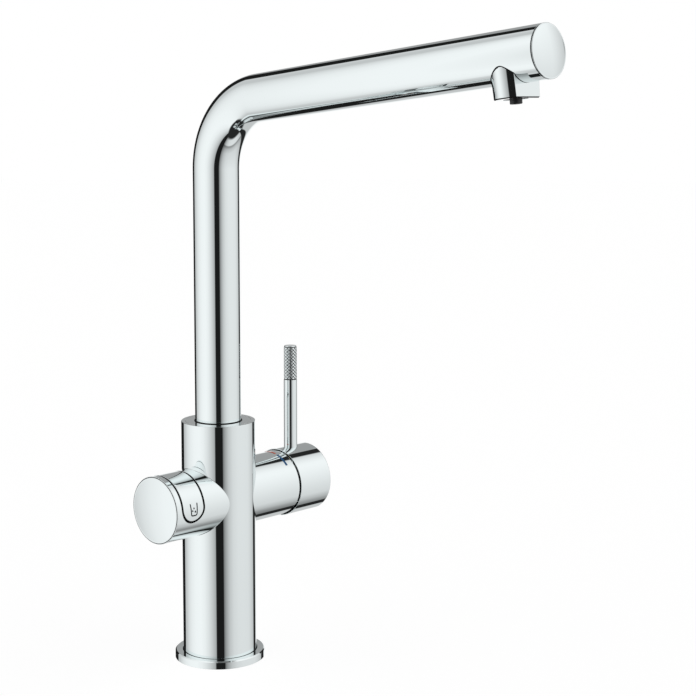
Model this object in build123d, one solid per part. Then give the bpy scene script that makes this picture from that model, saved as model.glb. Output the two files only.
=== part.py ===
from build123d import *
import os
from math import cos, radians, sin, sqrt

# Kitchen mixer tap with a separate filtered water way.
# Millimetres, Z up, origin at the centre of the base where it stands on the worktop.
# The spout points to -Y, the mixing lever is on +X and the filter selector on -X.

# Base flange and body
flange_dia = 55.0
flange_height = 4.8
flange_edge = 0.6
gasket_dia = 50.8
gasket_bore_dia = 38.4
gasket_thickness = 1.5
body_dia = 45.0
body_wall = 2.5
body_seat = 3.0
body_top = 147.8
branch_height = 100.6

# Left branch with the filter selector
knob_dia = 40.5
knob_wall = 2.65
knob_reach = 51.6
end_cap_lip = 0.9
end_cap_plug = 2.1
end_cap_plug_wall = 2.4
seal_setback = 0.5

# Selector rocker, a saddle over the left branch
rocker_x = -38.25
rocker_width = 15.9
rocker_end_angle = 82.4
rocker_gap = 0.85
rocker_thickness = 2.25
rocker_pin_dia = 2.0
rocker_pin_depth = 3.65
rocker_lug_width = 2.6
rocker_lug_spacing = 6.4
rocker_lug_radius = 2.2
rocker_lug_root = 0.5
rocker_pin_hold = 1.6
carrier_gap = 0.7
carrier_inner_end = 22.5
carrier_rail_drop = 10.9
carrier_shoulder = 2.0
spring_thickness = 0.3
spring_width = 3.4
spring_angles = (20.0, 66.0)
switch_size = 6.0
switch_depth = 4.0
switch_sink = 0.6
switch_travel_gap = 0.6
switch_plunger_dia = 3.2
board_dia = 28.6
board_thickness = 1.2
board_gap = 0.3
chip_height = 0.6
chip_size = 8.0

# Right branch with the mixing lever
branch_dia = 40.8
branch_bore_dia = 36.0
branch_reach = 49.7
relief_radius = 11.5
relief_drop = 8.8
mark_x = 43.9
mark_width = 1.0
mark_depth = 0.35
hot_mark_angles = (-14.0, 12.5)
cold_mark_angles = (17.5, 48.0)

# Lever cap and handle
cap_dia = 42.6
cap_wall = 1.4
cap_rim_gap = 0.7
cap_rim_wall = 0.4
cap_rim_bevel = 2.6
cap_reach = 77.4
cap_end_wall = 1.5
cap_edge = 0.8
cap_hub_dia = 14.4
cap_hub_inner_end = 47.0
handle_x = 61.9
handle_dia = 8.4
handle_top = 187.0
knurl_length = 21.7
knurl_dia = 8.2
handle_spigot_dia = 5.0
handle_spigot_length = 2.4
handle_edge = 0.4
handle_seat_depth = 0.8
grub_dia = 4.0
grub_sink = 0.3
grub_socket_depth = 1.2
screw_plug_dia = 5.0
screw_plug_depth = 1.5

# Mixer cartridge, on the branch axis
pivot_x = 40.0
pivot_pin_dia = 3.0
pivot_pin_inset = 0.1
lever_travel = 20.0
stem_sweep = 2.2
stem_size = 8.0
stem_inner_x = 37.0
stem_outer_x = 66.0
stem_end_gap = 0.2
stem_rod_dia = 5.0
ball_x = 28.0
ball_dia = 5.8
cartridge_dia = 34.6
cartridge_start = 14.3
cartridge_floor = 2.5
cartridge_bore_dia = 30.4
cartridge_shoulder = 33.0
cartridge_neck_start = 38.0
cartridge_neck_dia = 24.4
cartridge_neck_end = 41.6
guide_dia = 19.2
guide_flange_dia = 29.8
guide_flange_start = 30.5
guide_end = 42.0
disc_thickness = 4.0
slider_dia = 21.6
slider_thickness = 3.5
slider_pocket_dia = 13.0
driver_thickness = 3.0
driver_floor = 0.6
driver_key_size = 12.0
driver_key_end = 32.2
driver_mouth_dia = 9.0
port_radius = 8.0
port_dia = 5.2
port_angles = (90.0, 210.0, 330.0)
seal_wire = 1.2
nut_length = 6.0
nut_dia = 35.8
nut_slot_width = 3.0
nut_slot_depth = 1.6
nut_slot_count = 6

# Waterway core inside the body
core_gap = 0.2
core_bottom = 6.0
pocket_right = 13.5
pocket_left = 13.0
socket_depth = 13.6
inlet_dia = 9.0
inlet_depth = 12.0
inlet_x = 6.5
inlet_y = 9.2
filter_inlet_x = -11.2
filter_way_dia = 4.0
filter_way_turn = 70.0
stud_dia = 5.0
stud_depth = 14.0
stud_wall = 3.8
stud_angle = 120.0
spigot_dia = 6.0
spigot_bore_dia = 3.6
spigot_seat = 3.0
spigot_edge = 0.5
spigot_height = 8.2
mixed_way_x = 7.0

# Control lead from the circuit board to the base
lead_dia = 2.4
lead_wall = 0.9
lead_angle = 150.0
lead_drop = 8.6
lead_bend = 6.0
lead_plug_dia = 3.6
lead_plug_top = 16.0
lead_room = 0.3

# Swivel joint between body and spout
swivel_travel = 75.0
stop_gap_angle = 0.6
thrust_ring_thickness = 1.0
thrust_ring_gap = 0.4
thrust_ring_width = 3.95
sleeve_flange_height = 5.0
stop_ring_width = 3.35
stop_ring_gap = 0.4
sleeve_wall = 3.0
sleeve_foot_gap = 0.8
sleeve_rise = 4.2
sleeve_lug_angle = 30.0
sleeve_lug_gap = 0.5
sleeve_groove_rises = (4.2, 9.2)
ring_seal_wire = 1.6
ring_groove_width = 2.4
slide_ring_gap = 0.2
slide_ring_height = 4.6
collar_height = 3.6
collar_gap = 0.45
lock_screw_dia = 4.0
lock_screw_recess = 0.4
lock_screw_tip_gap = 0.6
lock_screw_socket = 2.4
lock_screw_socket_depth = 2.0
coupling_dia = 10.0
coupling_lift = 1.2
coupling_gap = 0.6
coupling_grip = 5.4

# Spout
tube_dia = 28.0
tube_wall = 1.2
spout_height = 338.4
spout_rise = 6.4
spout_length = 246.0
bend_radius = 42.5
end_lid_thickness = 1.2
end_lid_seam = 0.25
end_lid_plug = 5.0
end_lid_plug_wall = 1.5
end_lid_web = 0.6
end_lid_edge = 0.35

# Outlet block under the spout, measured along the spout and down from its axis
outlet_setback = 23.0
outlet_drop = 21.4
outlet_radius = 11.8
outlet_shift = 0.9
outlet_front = 7.9
outlet_root_drop = 4.0
outlet_root_radius = 12.8
outlet_corner = 0.5
outlet_bore_dia = 12.8
outlet_shoulder = 1.0
aerator_length = 5.0
aerator_recess = 0.5
aerator_hole_dia = 1.2
aerator_hole_circle = 9.6
aerator_hole_count = 16
nozzle_dia = 6.4
nozzle_bore_dia = 4.0
nozzle_edge = 0.3
nozzle_drop = 23.8
hose_dia = 6.0
hose_bore_dia = 4.0
hose_end_drop = 10.0
hose_end_bend = 9.5

# Clearances
running_fit = 0.05
loose_fit = 0.3

# Sizes that follow from the ones above
body_radius = body_dia / 2
body_bore = body_radius - body_wall
knob_radius = knob_dia / 2
knob_bore = knob_radius - knob_wall
branch_radius = branch_dia / 2
core_radius = body_bore - core_gap
tube_radius = tube_dia / 2
tube_bore = tube_radius - tube_wall
cap_radius = cap_dia / 2
cap_start = branch_reach + cap_rim_gap
rocker_inner = knob_radius - rocker_thickness
rocker_pin_height = branch_height + knob_radius - rocker_pin_depth
carrier_radius = rocker_inner - carrier_gap - spring_thickness
carrier_outer_end = knob_reach - end_cap_lip - end_cap_plug - board_gap
disc_start = cartridge_start + cartridge_floor
slider_start = disc_start + disc_thickness
driver_start = slider_start + slider_thickness
slider_travel = (pivot_x - ball_x) * sin(radians(lever_travel))
collar_bottom = body_top - collar_height
slide_ring_bottom = collar_bottom - slide_ring_height
sleeve_flange_top = slide_ring_bottom - slide_ring_gap
flange_bottom = sleeve_flange_top - sleeve_flange_height
core_top = flange_bottom - thrust_ring_thickness
socket_floor = core_top - socket_depth
sleeve_flange_dia = 2 * (body_bore - running_fit - stop_ring_width - stop_ring_gap)
socket_dia = sleeve_flange_dia - 2 * thrust_ring_width - thrust_ring_gap
sleeve_bore_dia = socket_dia - 2 * running_fit - 2 * sleeve_wall
sleeve_top = body_top + sleeve_rise
outlet_distance = spout_length - outlet_setback
spigot_top = socket_floor + spigot_height
coupling_step = spigot_top + coupling_gap
hose_start = coupling_step + coupling_gap
lead_height = branch_height - lead_drop
lead_circle = core_radius - lead_wall - lead_room - lead_dia / 2
stud_circle = core_radius - stud_wall - stud_dia / 2
lock_screw_height = flange_bottom + sleeve_flange_height / 2
spout_direction = Vector(0, -cos(radians(spout_rise)), sin(radians(spout_rise)))
spout_down = Vector(0, -sin(radians(spout_rise)), -cos(radians(spout_rise)))
spout_corner = Vector(0, 0, spout_height)
LONG = 400.0
FRONT = 270.0


def rod_z(dia, bottom, top, x=0, y=0):
    """Upright cylinder between two heights."""
    rod = Cylinder(dia / 2, top - bottom, align=(Align.CENTER, Align.CENTER, Align.MIN))
    return Pos(x, y, bottom) * rod


def rod_x(dia, start, end, y=0, z=branch_height):
    """Cylinder along the side branches, from x = start to x = end."""
    return Pos(start, y, z) * Rot(0, 90, 0) * Cylinder(
        dia / 2, end - start, align=(Align.CENTER, Align.CENTER, Align.MIN)
    )


def rod_across(dia, length):
    """Cylinder through the lever's pivot, centred on the branch."""
    return Pos(pivot_x, 0, branch_height) * Rot(90, 0, 0) * Cylinder(dia / 2, length)


def rod_back(dia, start, end):
    """Cylinder from front to back at the height of the locking screw."""
    return Pos(0, start, lock_screw_height) * Rot(-90, 0, 0) * Cylinder(
        dia / 2, end - start, align=(Align.CENTER, Align.CENTER, Align.MIN)
    )


def ring_z(dia, bore, bottom, top):
    return rod_z(dia, bottom, top) - rod_z(bore, bottom - 1, top + 1)


def ring_x(dia, bore, start, end):
    return rod_x(dia, start, end) - rod_x(bore, start - 1, end + 1)


def block(x0, x1, y0, y1, z0, z1):
    """Box between three pairs of coordinates."""
    return Pos((x0 + x1) / 2, (y0 + y1) / 2, (z0 + z1) / 2) * Box(x1 - x0, y1 - y0, z1 - z0)


def branch_sector(start, end, angle_from, angle_to):
    """Wedge about the branch axis; angles count from the top, positive towards the spout side."""
    step = (angle_to - angle_from) / 4
    rim = []
    for i in range(5):
        a = radians(angle_from + i * step)
        rim.append((start, -LONG / 4 * sin(a), branch_height + LONG / 4 * cos(a)))
    face = make_face(Polyline((start, 0, branch_height), *rim, close=True))
    return extrude(face, amount=end - start, dir=(1, 0, 0))


def upright_sector(bottom, top, angle_from, angle_to):
    """Wedge about the pole axis; angles count from +X."""
    step = (angle_to - angle_from) / 4
    rim = []
    for i in range(5):
        a = radians(angle_from + i * step)
        rim.append((LONG / 4 * cos(a), LONG / 4 * sin(a), bottom))
    face = make_face(Polyline((0, 0, bottom), *rim, close=True))
    return extrude(face, amount=top - bottom, dir=(0, 0, 1))


def saddle(width, outer, inner):
    """Band over the top of the left branch with a full round end on each side."""
    x0, x1 = rocker_x - width / 2, rocker_x + width / 2
    band = branch_sector(x0, x1, -rocker_end_angle, rocker_end_angle)
    for side in (-1, 1):
        a = radians(side * rocker_end_angle)
        outward = Vector(0, -sin(a), cos(a))
        end_plane = Plane(origin=(rocker_x, 0, branch_height), x_dir=(1, 0, 0), z_dir=outward)
        band += end_plane * Cylinder(width / 2, LONG / 8, align=(Align.CENTER, Align.CENTER, Align.MIN))
    return ring_x(2 * outer, 2 * inner, x0, x1) & band


def spout_plane(distance, z_dir):
    """Plane on the spout axis, a distance from the corner of its centre line."""
    return Plane(origin=spout_corner + spout_direction * distance, x_dir=(1, 0, 0), z_dir=z_dir)


def on_circle(circle, angle):
    return circle * cos(radians(angle)), circle * sin(radians(angle))


# Base

def make_base_flange():
    ring = rod_z(flange_dia, 0, flange_height)
    ring = chamfer(ring.edges().group_by(Axis.Z)[-1], flange_edge)
    ring -= rod_z(body_dia + 2 * running_fit, body_seat, flange_height + 1)
    ring -= rod_z(2 * body_bore, -1, body_seat + 1)
    return ring - rod_z(gasket_dia + 2 * running_fit, -1, gasket_thickness)


def make_base_gasket():
    return ring_z(gasket_dia, gasket_bore_dia, 0, gasket_thickness)


# Body casting

def relief_cut():
    """Rounds away the lower end of the right branch, so that the lever cap can swing in."""
    x0 = branch_reach - relief_radius
    z0 = branch_height - relief_drop
    corner = block(x0, branch_reach + 1, -body_radius, body_radius, z0 - 2 * relief_radius, z0)
    kept = Pos(x0, 0, z0) * Rot(90, 0, 0) * Cylinder(relief_radius, body_dia + 2)
    return corner - kept


def mark_strip(angles, outer, inner):
    x0, x1 = mark_x - mark_width / 2, mark_x + mark_width / 2
    return ring_x(2 * outer, 2 * inner, x0, x1) & branch_sector(x0, x1, *angles)


def make_mixer_body():
    body = rod_z(body_dia, body_seat, body_top)
    body += rod_x(knob_dia, -knob_reach + end_cap_lip, 0)
    body += rod_x(branch_dia, 0, branch_reach)
    body -= rod_z(2 * body_bore, body_seat - 1, body_top + 1)
    body -= rod_x(2 * knob_bore, -knob_reach - 1, 0)
    body -= rod_x(branch_bore_dia, 0, branch_reach + 1)
    body -= relief_cut()
    body -= saddle(rocker_width + 2 * rocker_gap, knob_radius + 1, knob_bore - 1)
    for angles in (hot_mark_angles, cold_mark_angles):
        body -= mark_strip(angles, branch_radius + 1, branch_radius - mark_depth)
    return body - rod_back(lock_screw_dia, 0, body_dia)


def make_hot_mark():
    return mark_strip(hot_mark_angles, branch_radius, branch_radius - mark_depth)


def make_cold_mark():
    return mark_strip(cold_mark_angles, branch_radius, branch_radius - mark_depth)


# Waterway core

def port_places():
    """Mixed, hot and cold ports on the cartridge seat, as y and z."""
    places = []
    for angle in port_angles:
        a = radians(angle)
        places.append((port_radius * cos(a), branch_height + port_radius * sin(a)))
    return places


def make_waterway_core():
    core = rod_z(2 * core_radius, core_bottom, core_top)
    core -= rod_x(branch_bore_dia, pocket_right, body_dia)
    core -= rod_x(2 * knob_bore, -body_dia, -pocket_left)
    core -= rod_z(socket_dia, socket_floor, core_top + 1)
    mixed, hot, cold = port_places()
    core -= rod_x(port_dia, mixed_way_x, pocket_right + 1, *mixed)
    core -= rod_z(port_dia, mixed[1], socket_floor + 1, x=mixed_way_x)
    for y, z in (hot, cold):
        side = 1 if y > 0 else -1
        core -= rod_x(port_dia, inlet_x, pocket_right + 1, y, z)
        core -= rod_z(port_dia, core_bottom, z, inlet_x, side * inlet_y)
        core -= rod_z(inlet_dia, core_bottom - 1, core_bottom + inlet_depth, inlet_x, side * inlet_y)
    core -= rod_z(inlet_dia, core_bottom - 1, core_bottom + inlet_depth, filter_inlet_x)
    core -= rod_z(filter_way_dia, core_bottom, filter_way_turn, filter_inlet_x)
    core -= rod_x(filter_way_dia, filter_inlet_x, 0, 0, filter_way_turn)
    core -= rod_z(filter_way_dia, filter_way_turn, socket_floor)
    core -= rod_z(spigot_dia, socket_floor - spigot_seat, socket_floor + 1)
    for angle in (-stud_angle, stud_angle):
        x, y = on_circle(stud_circle, angle)
        core -= rod_z(stud_dia, core_bottom - 1, core_bottom + stud_depth, x, y)
    x, y = on_circle(lead_circle, lead_angle)
    lead_way = rod_z(lead_plug_dia + 2 * running_fit, core_bottom - 1, lead_plug_top, x, y)
    lead_way += rod_z(lead_dia + 2 * lead_room, lead_plug_top, lead_height, x, y)
    return core - lead_way


def make_filter_spigot():
    spigot = rod_z(spigot_dia, socket_floor - spigot_seat, spigot_top)
    spigot = chamfer(spigot.edges().group_by(Axis.Z)[-1], spigot_edge)
    return spigot - rod_z(spigot_bore_dia, socket_floor - spigot_seat - 1, spigot_top + 1)


# Mixer cartridge

def make_cartridge_housing():
    housing = rod_x(cartridge_dia, cartridge_start, cartridge_neck_start)
    housing += rod_x(cartridge_neck_dia, cartridge_neck_start, cartridge_neck_end)
    housing -= rod_x(cartridge_bore_dia, disc_start, cartridge_shoulder)
    housing -= rod_x(guide_dia + 2 * running_fit, cartridge_shoulder - 1, cartridge_neck_end + 1)
    for y, z in port_places():
        housing -= rod_x(port_dia, cartridge_start - 1, disc_start + 1, y, z)
    return housing


def make_cartridge_nut():
    end = cartridge_neck_start + nut_length
    half = nut_slot_width / 2
    nut = ring_x(nut_dia, cartridge_neck_dia + 2 * running_fit, cartridge_neck_start, end)
    slot = block(end - nut_slot_depth, end + 1, -half, half, 0, nut_dia)
    for i in range(nut_slot_count):
        nut -= Pos(0, 0, branch_height) * Rot(i * 360 / nut_slot_count, 0, 0) * slot
    return nut


def make_cartridge_seals():
    seals = []
    for y, z in port_places():
        ring = rod_x(port_dia + 2 * seal_wire, pocket_right, cartridge_start, y, z)
        seals.append(ring - rod_x(port_dia, pocket_right - 1, cartridge_start + 1, y, z))
    return Compound(children=seals)


def make_fixed_disc():
    disc = rod_x(cartridge_bore_dia - 2 * running_fit, disc_start, slider_start)
    for y, z in port_places():
        disc -= rod_x(port_dia, disc_start - 1, slider_start + 1, y, z)
    return disc


def make_sliding_disc():
    disc = rod_x(slider_dia, slider_start, driver_start)
    return disc - rod_x(slider_pocket_dia, slider_start - 1, slider_start + slider_thickness / 2)


def make_disc_driver():
    driver = rod_x(slider_dia, driver_start, driver_start + driver_thickness)
    half = driver_key_size / 2
    driver += block(driver_start, driver_key_end, -half, half, branch_height - half, branch_height + half)
    driver -= rod_x(ball_dia + 2 * loose_fit, driver_start + driver_floor, driver_key_end + 1)
    return driver - rod_x(driver_mouth_dia, ball_x + ball_dia / 2, driver_key_end + 1)


def make_spindle_guide():
    guide = rod_x(guide_flange_dia, guide_flange_start, cartridge_shoulder - running_fit)
    guide += rod_x(guide_dia, guide_flange_start, guide_end)
    start = guide_flange_start - 1
    half = stem_size / 2 + running_fit
    reach = half + loose_fit
    rise = (pivot_x - guide_flange_start) * sin(radians(lever_travel))
    middle = (guide_flange_start + pivot_x) / 2
    guide -= block(start, middle, -half, half, branch_height - reach, branch_height + reach + rise)
    low = half + stem_sweep
    guide -= block(middle, guide_end + 1, -half, half, branch_height - low, branch_height + half + 1)
    wide = driver_key_size / 2 + running_fit
    bottom = branch_height - driver_key_size / 2 - loose_fit
    top = branch_height + driver_key_size / 2 + loose_fit + slider_travel
    guide -= block(start, driver_key_end + running_fit, -wide, wide, bottom, top)
    return guide - rod_across(pivot_pin_dia, guide_dia + 2)


def make_pivot_pin():
    length = 2 * sqrt((guide_dia / 2) ** 2 - (pivot_pin_dia / 2) ** 2) - 2 * pivot_pin_inset
    return rod_across(pivot_pin_dia, length)


def make_lever_stem():
    half = stem_size / 2
    stem = block(stem_inner_x, stem_outer_x, -half, half, branch_height - half, branch_height + half)
    stem += rod_x(stem_rod_dia - 1, ball_x, stem_inner_x)
    stem += Pos(ball_x, 0, branch_height) * Sphere(ball_dia / 2)
    return stem - rod_across(pivot_pin_dia + 2 * running_fit, stem_size + 2)


# Lever

def make_lever_cap():
    shell = rod_x(cap_dia, cap_start, cap_reach)
    shell = fillet(shell.edges().group_by(Axis.X)[-1], cap_edge)
    shell -= rod_x(cap_dia - 2 * cap_wall, cap_start - 1, cap_reach - cap_end_wall)
    bevel = Pos(cap_start, 0, branch_height) * Rot(0, 90, 0) * Cone(
        cap_radius - cap_rim_wall,
        cap_radius - cap_wall,
        cap_rim_bevel,
        align=(Align.CENTER, Align.CENTER, Align.MIN),
    )
    shell -= bevel
    hub = rod_x(cap_hub_dia, cap_hub_inner_end, cap_reach - cap_end_wall)
    half = stem_size / 2 + running_fit
    hub -= block(
        cap_hub_inner_end - 1, stem_outer_x + stem_end_gap, -half, half, branch_height - half, branch_height + half
    )
    cap = shell + hub
    cap -= rod_z(handle_dia + 2 * running_fit, handle_seat(), handle_top, handle_x)
    cap -= rod_z(handle_spigot_dia + 2 * running_fit, branch_height, handle_seat() + 1, handle_x)
    cap -= rod_z(grub_dia, branch_height - cap_hub_dia, branch_height, handle_x)
    return cap - rod_z(screw_plug_dia, branch_height - cap_dia, branch_height - cap_radius / 2, handle_x)


def handle_seat():
    """Height at which the handle rod sits on the hub inside the cap."""
    return branch_height + cap_hub_dia / 2 - handle_seat_depth


def make_handle_rod():
    knurl_bottom = handle_top - knurl_length
    rod = rod_z(handle_dia, handle_seat(), knurl_bottom, handle_x)
    knurled = rod_z(knurl_dia, knurl_bottom, handle_top, handle_x)
    knurled = chamfer(knurled.edges().group_by(Axis.Z)[-1], handle_edge)
    spigot = rod_z(handle_spigot_dia, handle_seat() - handle_spigot_length, handle_seat(), handle_x)
    return rod + knurled + spigot


def make_cap_grub_screw():
    bottom = branch_height - cap_hub_dia / 2 + grub_sink
    screw = rod_z(grub_dia, bottom, branch_height - stem_size / 2 - running_fit, handle_x)
    socket = Pos(handle_x, 0, bottom - 1) * extrude(RegularPolygon(grub_dia / 4, 6), grub_socket_depth + 1)
    return screw - socket


def make_screw_plug():
    """Plug in the access hole under the cap, flush with the cap's skin."""
    top = branch_height - cap_radius + cap_wall + screw_plug_depth
    plug = rod_z(screw_plug_dia, branch_height - cap_dia, top, handle_x)
    return plug & rod_x(cap_dia, handle_x - screw_plug_dia, handle_x + screw_plug_dia)


# Filter selector

def lug_places():
    """Middle of each lug that carries the rocker on its pin."""
    return [rocker_x + side * rocker_lug_spacing / 2 for side in (-1, 1)]


def make_selector_rocker():
    rocker = saddle(rocker_width, knob_radius, rocker_inner)
    top = branch_height + rocker_inner + rocker_lug_root
    r = rocker_lug_radius
    for x in lug_places():
        x0, x1 = x - rocker_lug_width / 2, x + rocker_lug_width / 2
        rocker += rod_x(2 * r, x0, x1, 0, rocker_pin_height)
        rocker += block(x0, x1, -r, r, rocker_pin_height, top)
    x0, x1 = rocker_x - rocker_width, rocker_x + rocker_width
    return rocker - rod_x(rocker_pin_dia + 2 * running_fit, x0, x1, 0, rocker_pin_height)


def lug_bed(x):
    """Space in the carrier for one lug of the rocker."""
    half = rocker_lug_radius + loose_fit
    reach = rocker_lug_width / 2 + loose_fit
    top = branch_height + knob_radius
    return block(x - reach, x + reach, -half, half, rocker_pin_height - half, top)


def rocker_pin_span():
    reach = rocker_lug_spacing / 2 + rocker_lug_width / 2 + loose_fit + rocker_pin_hold
    return rocker_x - reach, rocker_x + reach


def make_selector_carrier():
    carrier = rod_x(2 * carrier_radius, -carrier_outer_end, -carrier_inner_end)
    rails = rod_x(2 * knob_bore - 2 * running_fit, -carrier_outer_end, -carrier_inner_end)
    rail_top = branch_height - carrier_rail_drop
    carrier += rails & block(-carrier_outer_end, -carrier_inner_end, -knob_radius, knob_radius, 0, rail_top)
    shoulder_end = -carrier_inner_end - carrier_shoulder
    carrier += rod_x(2 * knob_bore - 2 * running_fit, shoulder_end, -carrier_inner_end)
    for x in lug_places():
        carrier -= lug_bed(x)
    x0, x1 = rocker_pin_span()
    carrier -= rod_x(rocker_pin_dia, x0, x1, 0, rocker_pin_height)
    for side in (-1, 1):
        carrier -= switch_box(side, switch_size, carrier_radius + 1)
    y = on_circle(lead_circle, lead_angle)[1]
    way = lead_dia + 2 * lead_room
    return carrier - rod_x(way, -carrier_outer_end - 1, -carrier_inner_end + 1, y, lead_height)


def switch_box(side, size, outer):
    """Square seat on one flank of the carrier, from the switch's back to an outer radius."""
    half = size / 2
    y0, y1 = sorted((side * (carrier_radius - switch_depth), side * outer))
    return block(rocker_x - half, rocker_x + half, y0, y1, branch_height - half, branch_height + half)


def make_push_switches():
    switches = []
    back = carrier_radius - switch_depth
    tip = rocker_inner - switch_travel_gap
    for side in (1, -1):
        base = switch_box(side, switch_size - 2 * running_fit, carrier_radius - switch_sink)
        plunger = Cylinder(switch_plunger_dia / 2, tip - back)
        middle = side * (back + tip) / 2
        switches.append(base + Pos(rocker_x, middle, branch_height) * Rot(90, 0, 0) * plunger)
    return Compound(children=switches)


def make_rocker_pin():
    x0, x1 = rocker_pin_span()
    return rod_x(rocker_pin_dia, x0, x1, 0, rocker_pin_height)


def make_return_springs():
    """Two curved leaf springs that lie on the carrier under the rocker's flanks."""
    leaves = []
    x0 = rocker_x - rocker_width / 2 + loose_fit
    x1 = x0 + spring_width
    skin = ring_x(2 * (carrier_radius + spring_thickness), 2 * carrier_radius, x0, x1)
    for side in (-1, 1):
        angles = sorted((side * spring_angles[0], side * spring_angles[1]))
        leaves.append(skin & branch_sector(x0, x1, *angles))
    return Compound(children=leaves)


def make_circuit_board():
    start = -carrier_outer_end - board_gap
    board = rod_x(board_dia, start - board_thickness, start)
    face = start - board_thickness
    half = chip_size / 2
    chip = block(face - chip_height, face, -half, half, branch_height - half, branch_height + half)
    return board + chip


def make_end_cap():
    outer = -knob_reach
    seat = outer + end_cap_lip
    lip = Pos(seat, 0, branch_height) * Rot(0, -90, 0) * Cone(
        knob_radius, knob_radius - end_cap_lip, end_cap_lip, align=(Align.CENTER, Align.CENTER, Align.MIN)
    )
    plug = ring_x(
        2 * (knob_bore - running_fit),
        2 * (knob_bore - end_cap_plug_wall),
        seat,
        seat + end_cap_plug,
    )
    groove = ring_x(2 * knob_bore + 1, 2 * (knob_bore - seal_wire), seat + seal_setback, seat + seal_setback + seal_wire)
    return lip + (plug - groove)


def make_end_cap_seal():
    start = -knob_reach + end_cap_lip + seal_setback
    return ring_x(2 * knob_bore, 2 * (knob_bore - seal_wire), start, start + seal_wire)


def make_control_lead():
    x, y = on_circle(lead_circle, lead_angle)
    end = -carrier_outer_end - board_gap
    foot = (x, y, lead_plug_top)
    path = FilletPolyline(foot, (x, y, lead_height), (end, y, lead_height), radius=lead_bend)
    return sweep(Plane(origin=foot) * Circle(lead_dia / 2), path=path)


def make_lead_plug():
    x, y = on_circle(lead_circle, lead_angle)
    return rod_z(lead_plug_dia, core_bottom, lead_plug_top, x, y)


# Swivel joint

def make_thrust_ring():
    return ring_z(sleeve_flange_dia, socket_dia + thrust_ring_gap, core_top, flange_bottom)


def make_spout_sleeve():
    foot = socket_floor + sleeve_foot_gap
    sleeve = rod_z(socket_dia - 2 * running_fit, foot, flange_bottom)
    sleeve += rod_z(sleeve_flange_dia, flange_bottom, sleeve_flange_top)
    sleeve += rod_z(2 * tube_bore, sleeve_flange_top, sleeve_top)
    lug = rod_z(2 * (body_bore - sleeve_lug_gap), flange_bottom + loose_fit, sleeve_flange_top)
    sleeve += lug & upright_sector(
        flange_bottom, sleeve_flange_top, FRONT - sleeve_lug_angle / 2, FRONT + sleeve_lug_angle / 2
    )
    sleeve -= rod_z(sleeve_bore_dia, foot - 1, sleeve_top + 1)
    for rise in sleeve_groove_rises:
        low = socket_floor + rise - ring_groove_width / 2
        high = socket_floor + rise + ring_groove_width / 2
        sleeve -= ring_z(socket_dia + 1, socket_dia - 2 * running_fit - 2 * ring_seal_wire, low, high)
    return sleeve


def make_sleeve_seals():
    major = socket_dia / 2 - running_fit - ring_seal_wire / 2
    ring = Torus(major, ring_seal_wire / 2)
    return Compound(children=[Pos(0, 0, socket_floor + rise) * ring for rise in sleeve_groove_rises])


def make_stop_ring():
    """Half ring that the sleeve's lug swings against."""
    outer = body_bore - running_fit
    ring = ring_z(2 * outer, 2 * (outer - stop_ring_width), core_top, sleeve_flange_top)
    reach = sleeve_lug_angle / 2 + swivel_travel + stop_gap_angle
    first = FRONT + reach
    last = FRONT + 360 - reach
    ring = ring & upright_sector(core_top, sleeve_flange_top, first, last)
    return ring - rod_back(lock_screw_dia, 0, body_dia)


def make_lock_screw():
    start = sleeve_flange_dia / 2 + lock_screw_tip_gap
    end = body_radius - lock_screw_recess
    screw = rod_back(lock_screw_dia, start, end)
    socket_plane = Plane(origin=(0, end - lock_screw_socket_depth, lock_screw_height), z_dir=(0, 1, 0))
    return screw - extrude(socket_plane * RegularPolygon(lock_screw_socket / 2, 6), lock_screw_socket_depth)


def make_slide_ring():
    return ring_z(
        2 * body_bore - 2 * running_fit, tube_dia + 2 * running_fit, slide_ring_bottom, collar_bottom
    )


def make_collar_ring():
    return ring_z(2 * body_bore - 2 * running_fit, tube_dia + 2 * collar_gap, collar_bottom, body_top)


def make_hose_coupling():
    bottom = socket_floor + coupling_lift
    top = coupling_step + coupling_grip
    coupling = rod_z(coupling_dia, bottom, top)
    coupling -= rod_z(spigot_dia + 2 * running_fit, bottom - 1, coupling_step)
    coupling -= rod_z(hose_bore_dia, coupling_step - 1, hose_start + 1)
    return coupling - rod_z(hose_dia, hose_start, top + 1)


# Spout

def make_spout_tube():
    end = spout_length - end_lid_thickness - end_lid_seam
    path = FilletPolyline(
        (0, 0, sleeve_flange_top), spout_corner, spout_corner + spout_direction * end, radius=bend_radius
    )
    start = Plane(origin=(0, 0, sleeve_flange_top))
    tube = sweep(start * (Circle(tube_radius) - Circle(tube_bore)), path=path)
    hole_radius = outlet_bore_dia / 2 - outlet_shoulder
    hole = Cylinder(hole_radius, tube_radius + 2, align=(Align.CENTER, Align.CENTER, Align.MIN))
    return tube - spout_plane(outlet_distance, spout_down) * hole


def make_spout_end_lid():
    lid = Cylinder(tube_radius, end_lid_thickness, align=(Align.CENTER, Align.CENTER, Align.MAX))
    lid = fillet(lid.edges().group_by(Axis.Z)[-1], end_lid_edge)
    plug_height = end_lid_thickness + end_lid_plug
    plug = Cylinder(tube_bore, plug_height, align=(Align.CENTER, Align.CENTER, Align.MAX))
    hollow = Pos(0, 0, -end_lid_thickness - end_lid_web) * Cylinder(
        tube_bore - end_lid_plug_wall, plug_height, align=(Align.CENTER, Align.CENTER, Align.MAX)
    )
    return spout_plane(spout_length, spout_direction) * (lid + (plug - hollow))


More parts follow.
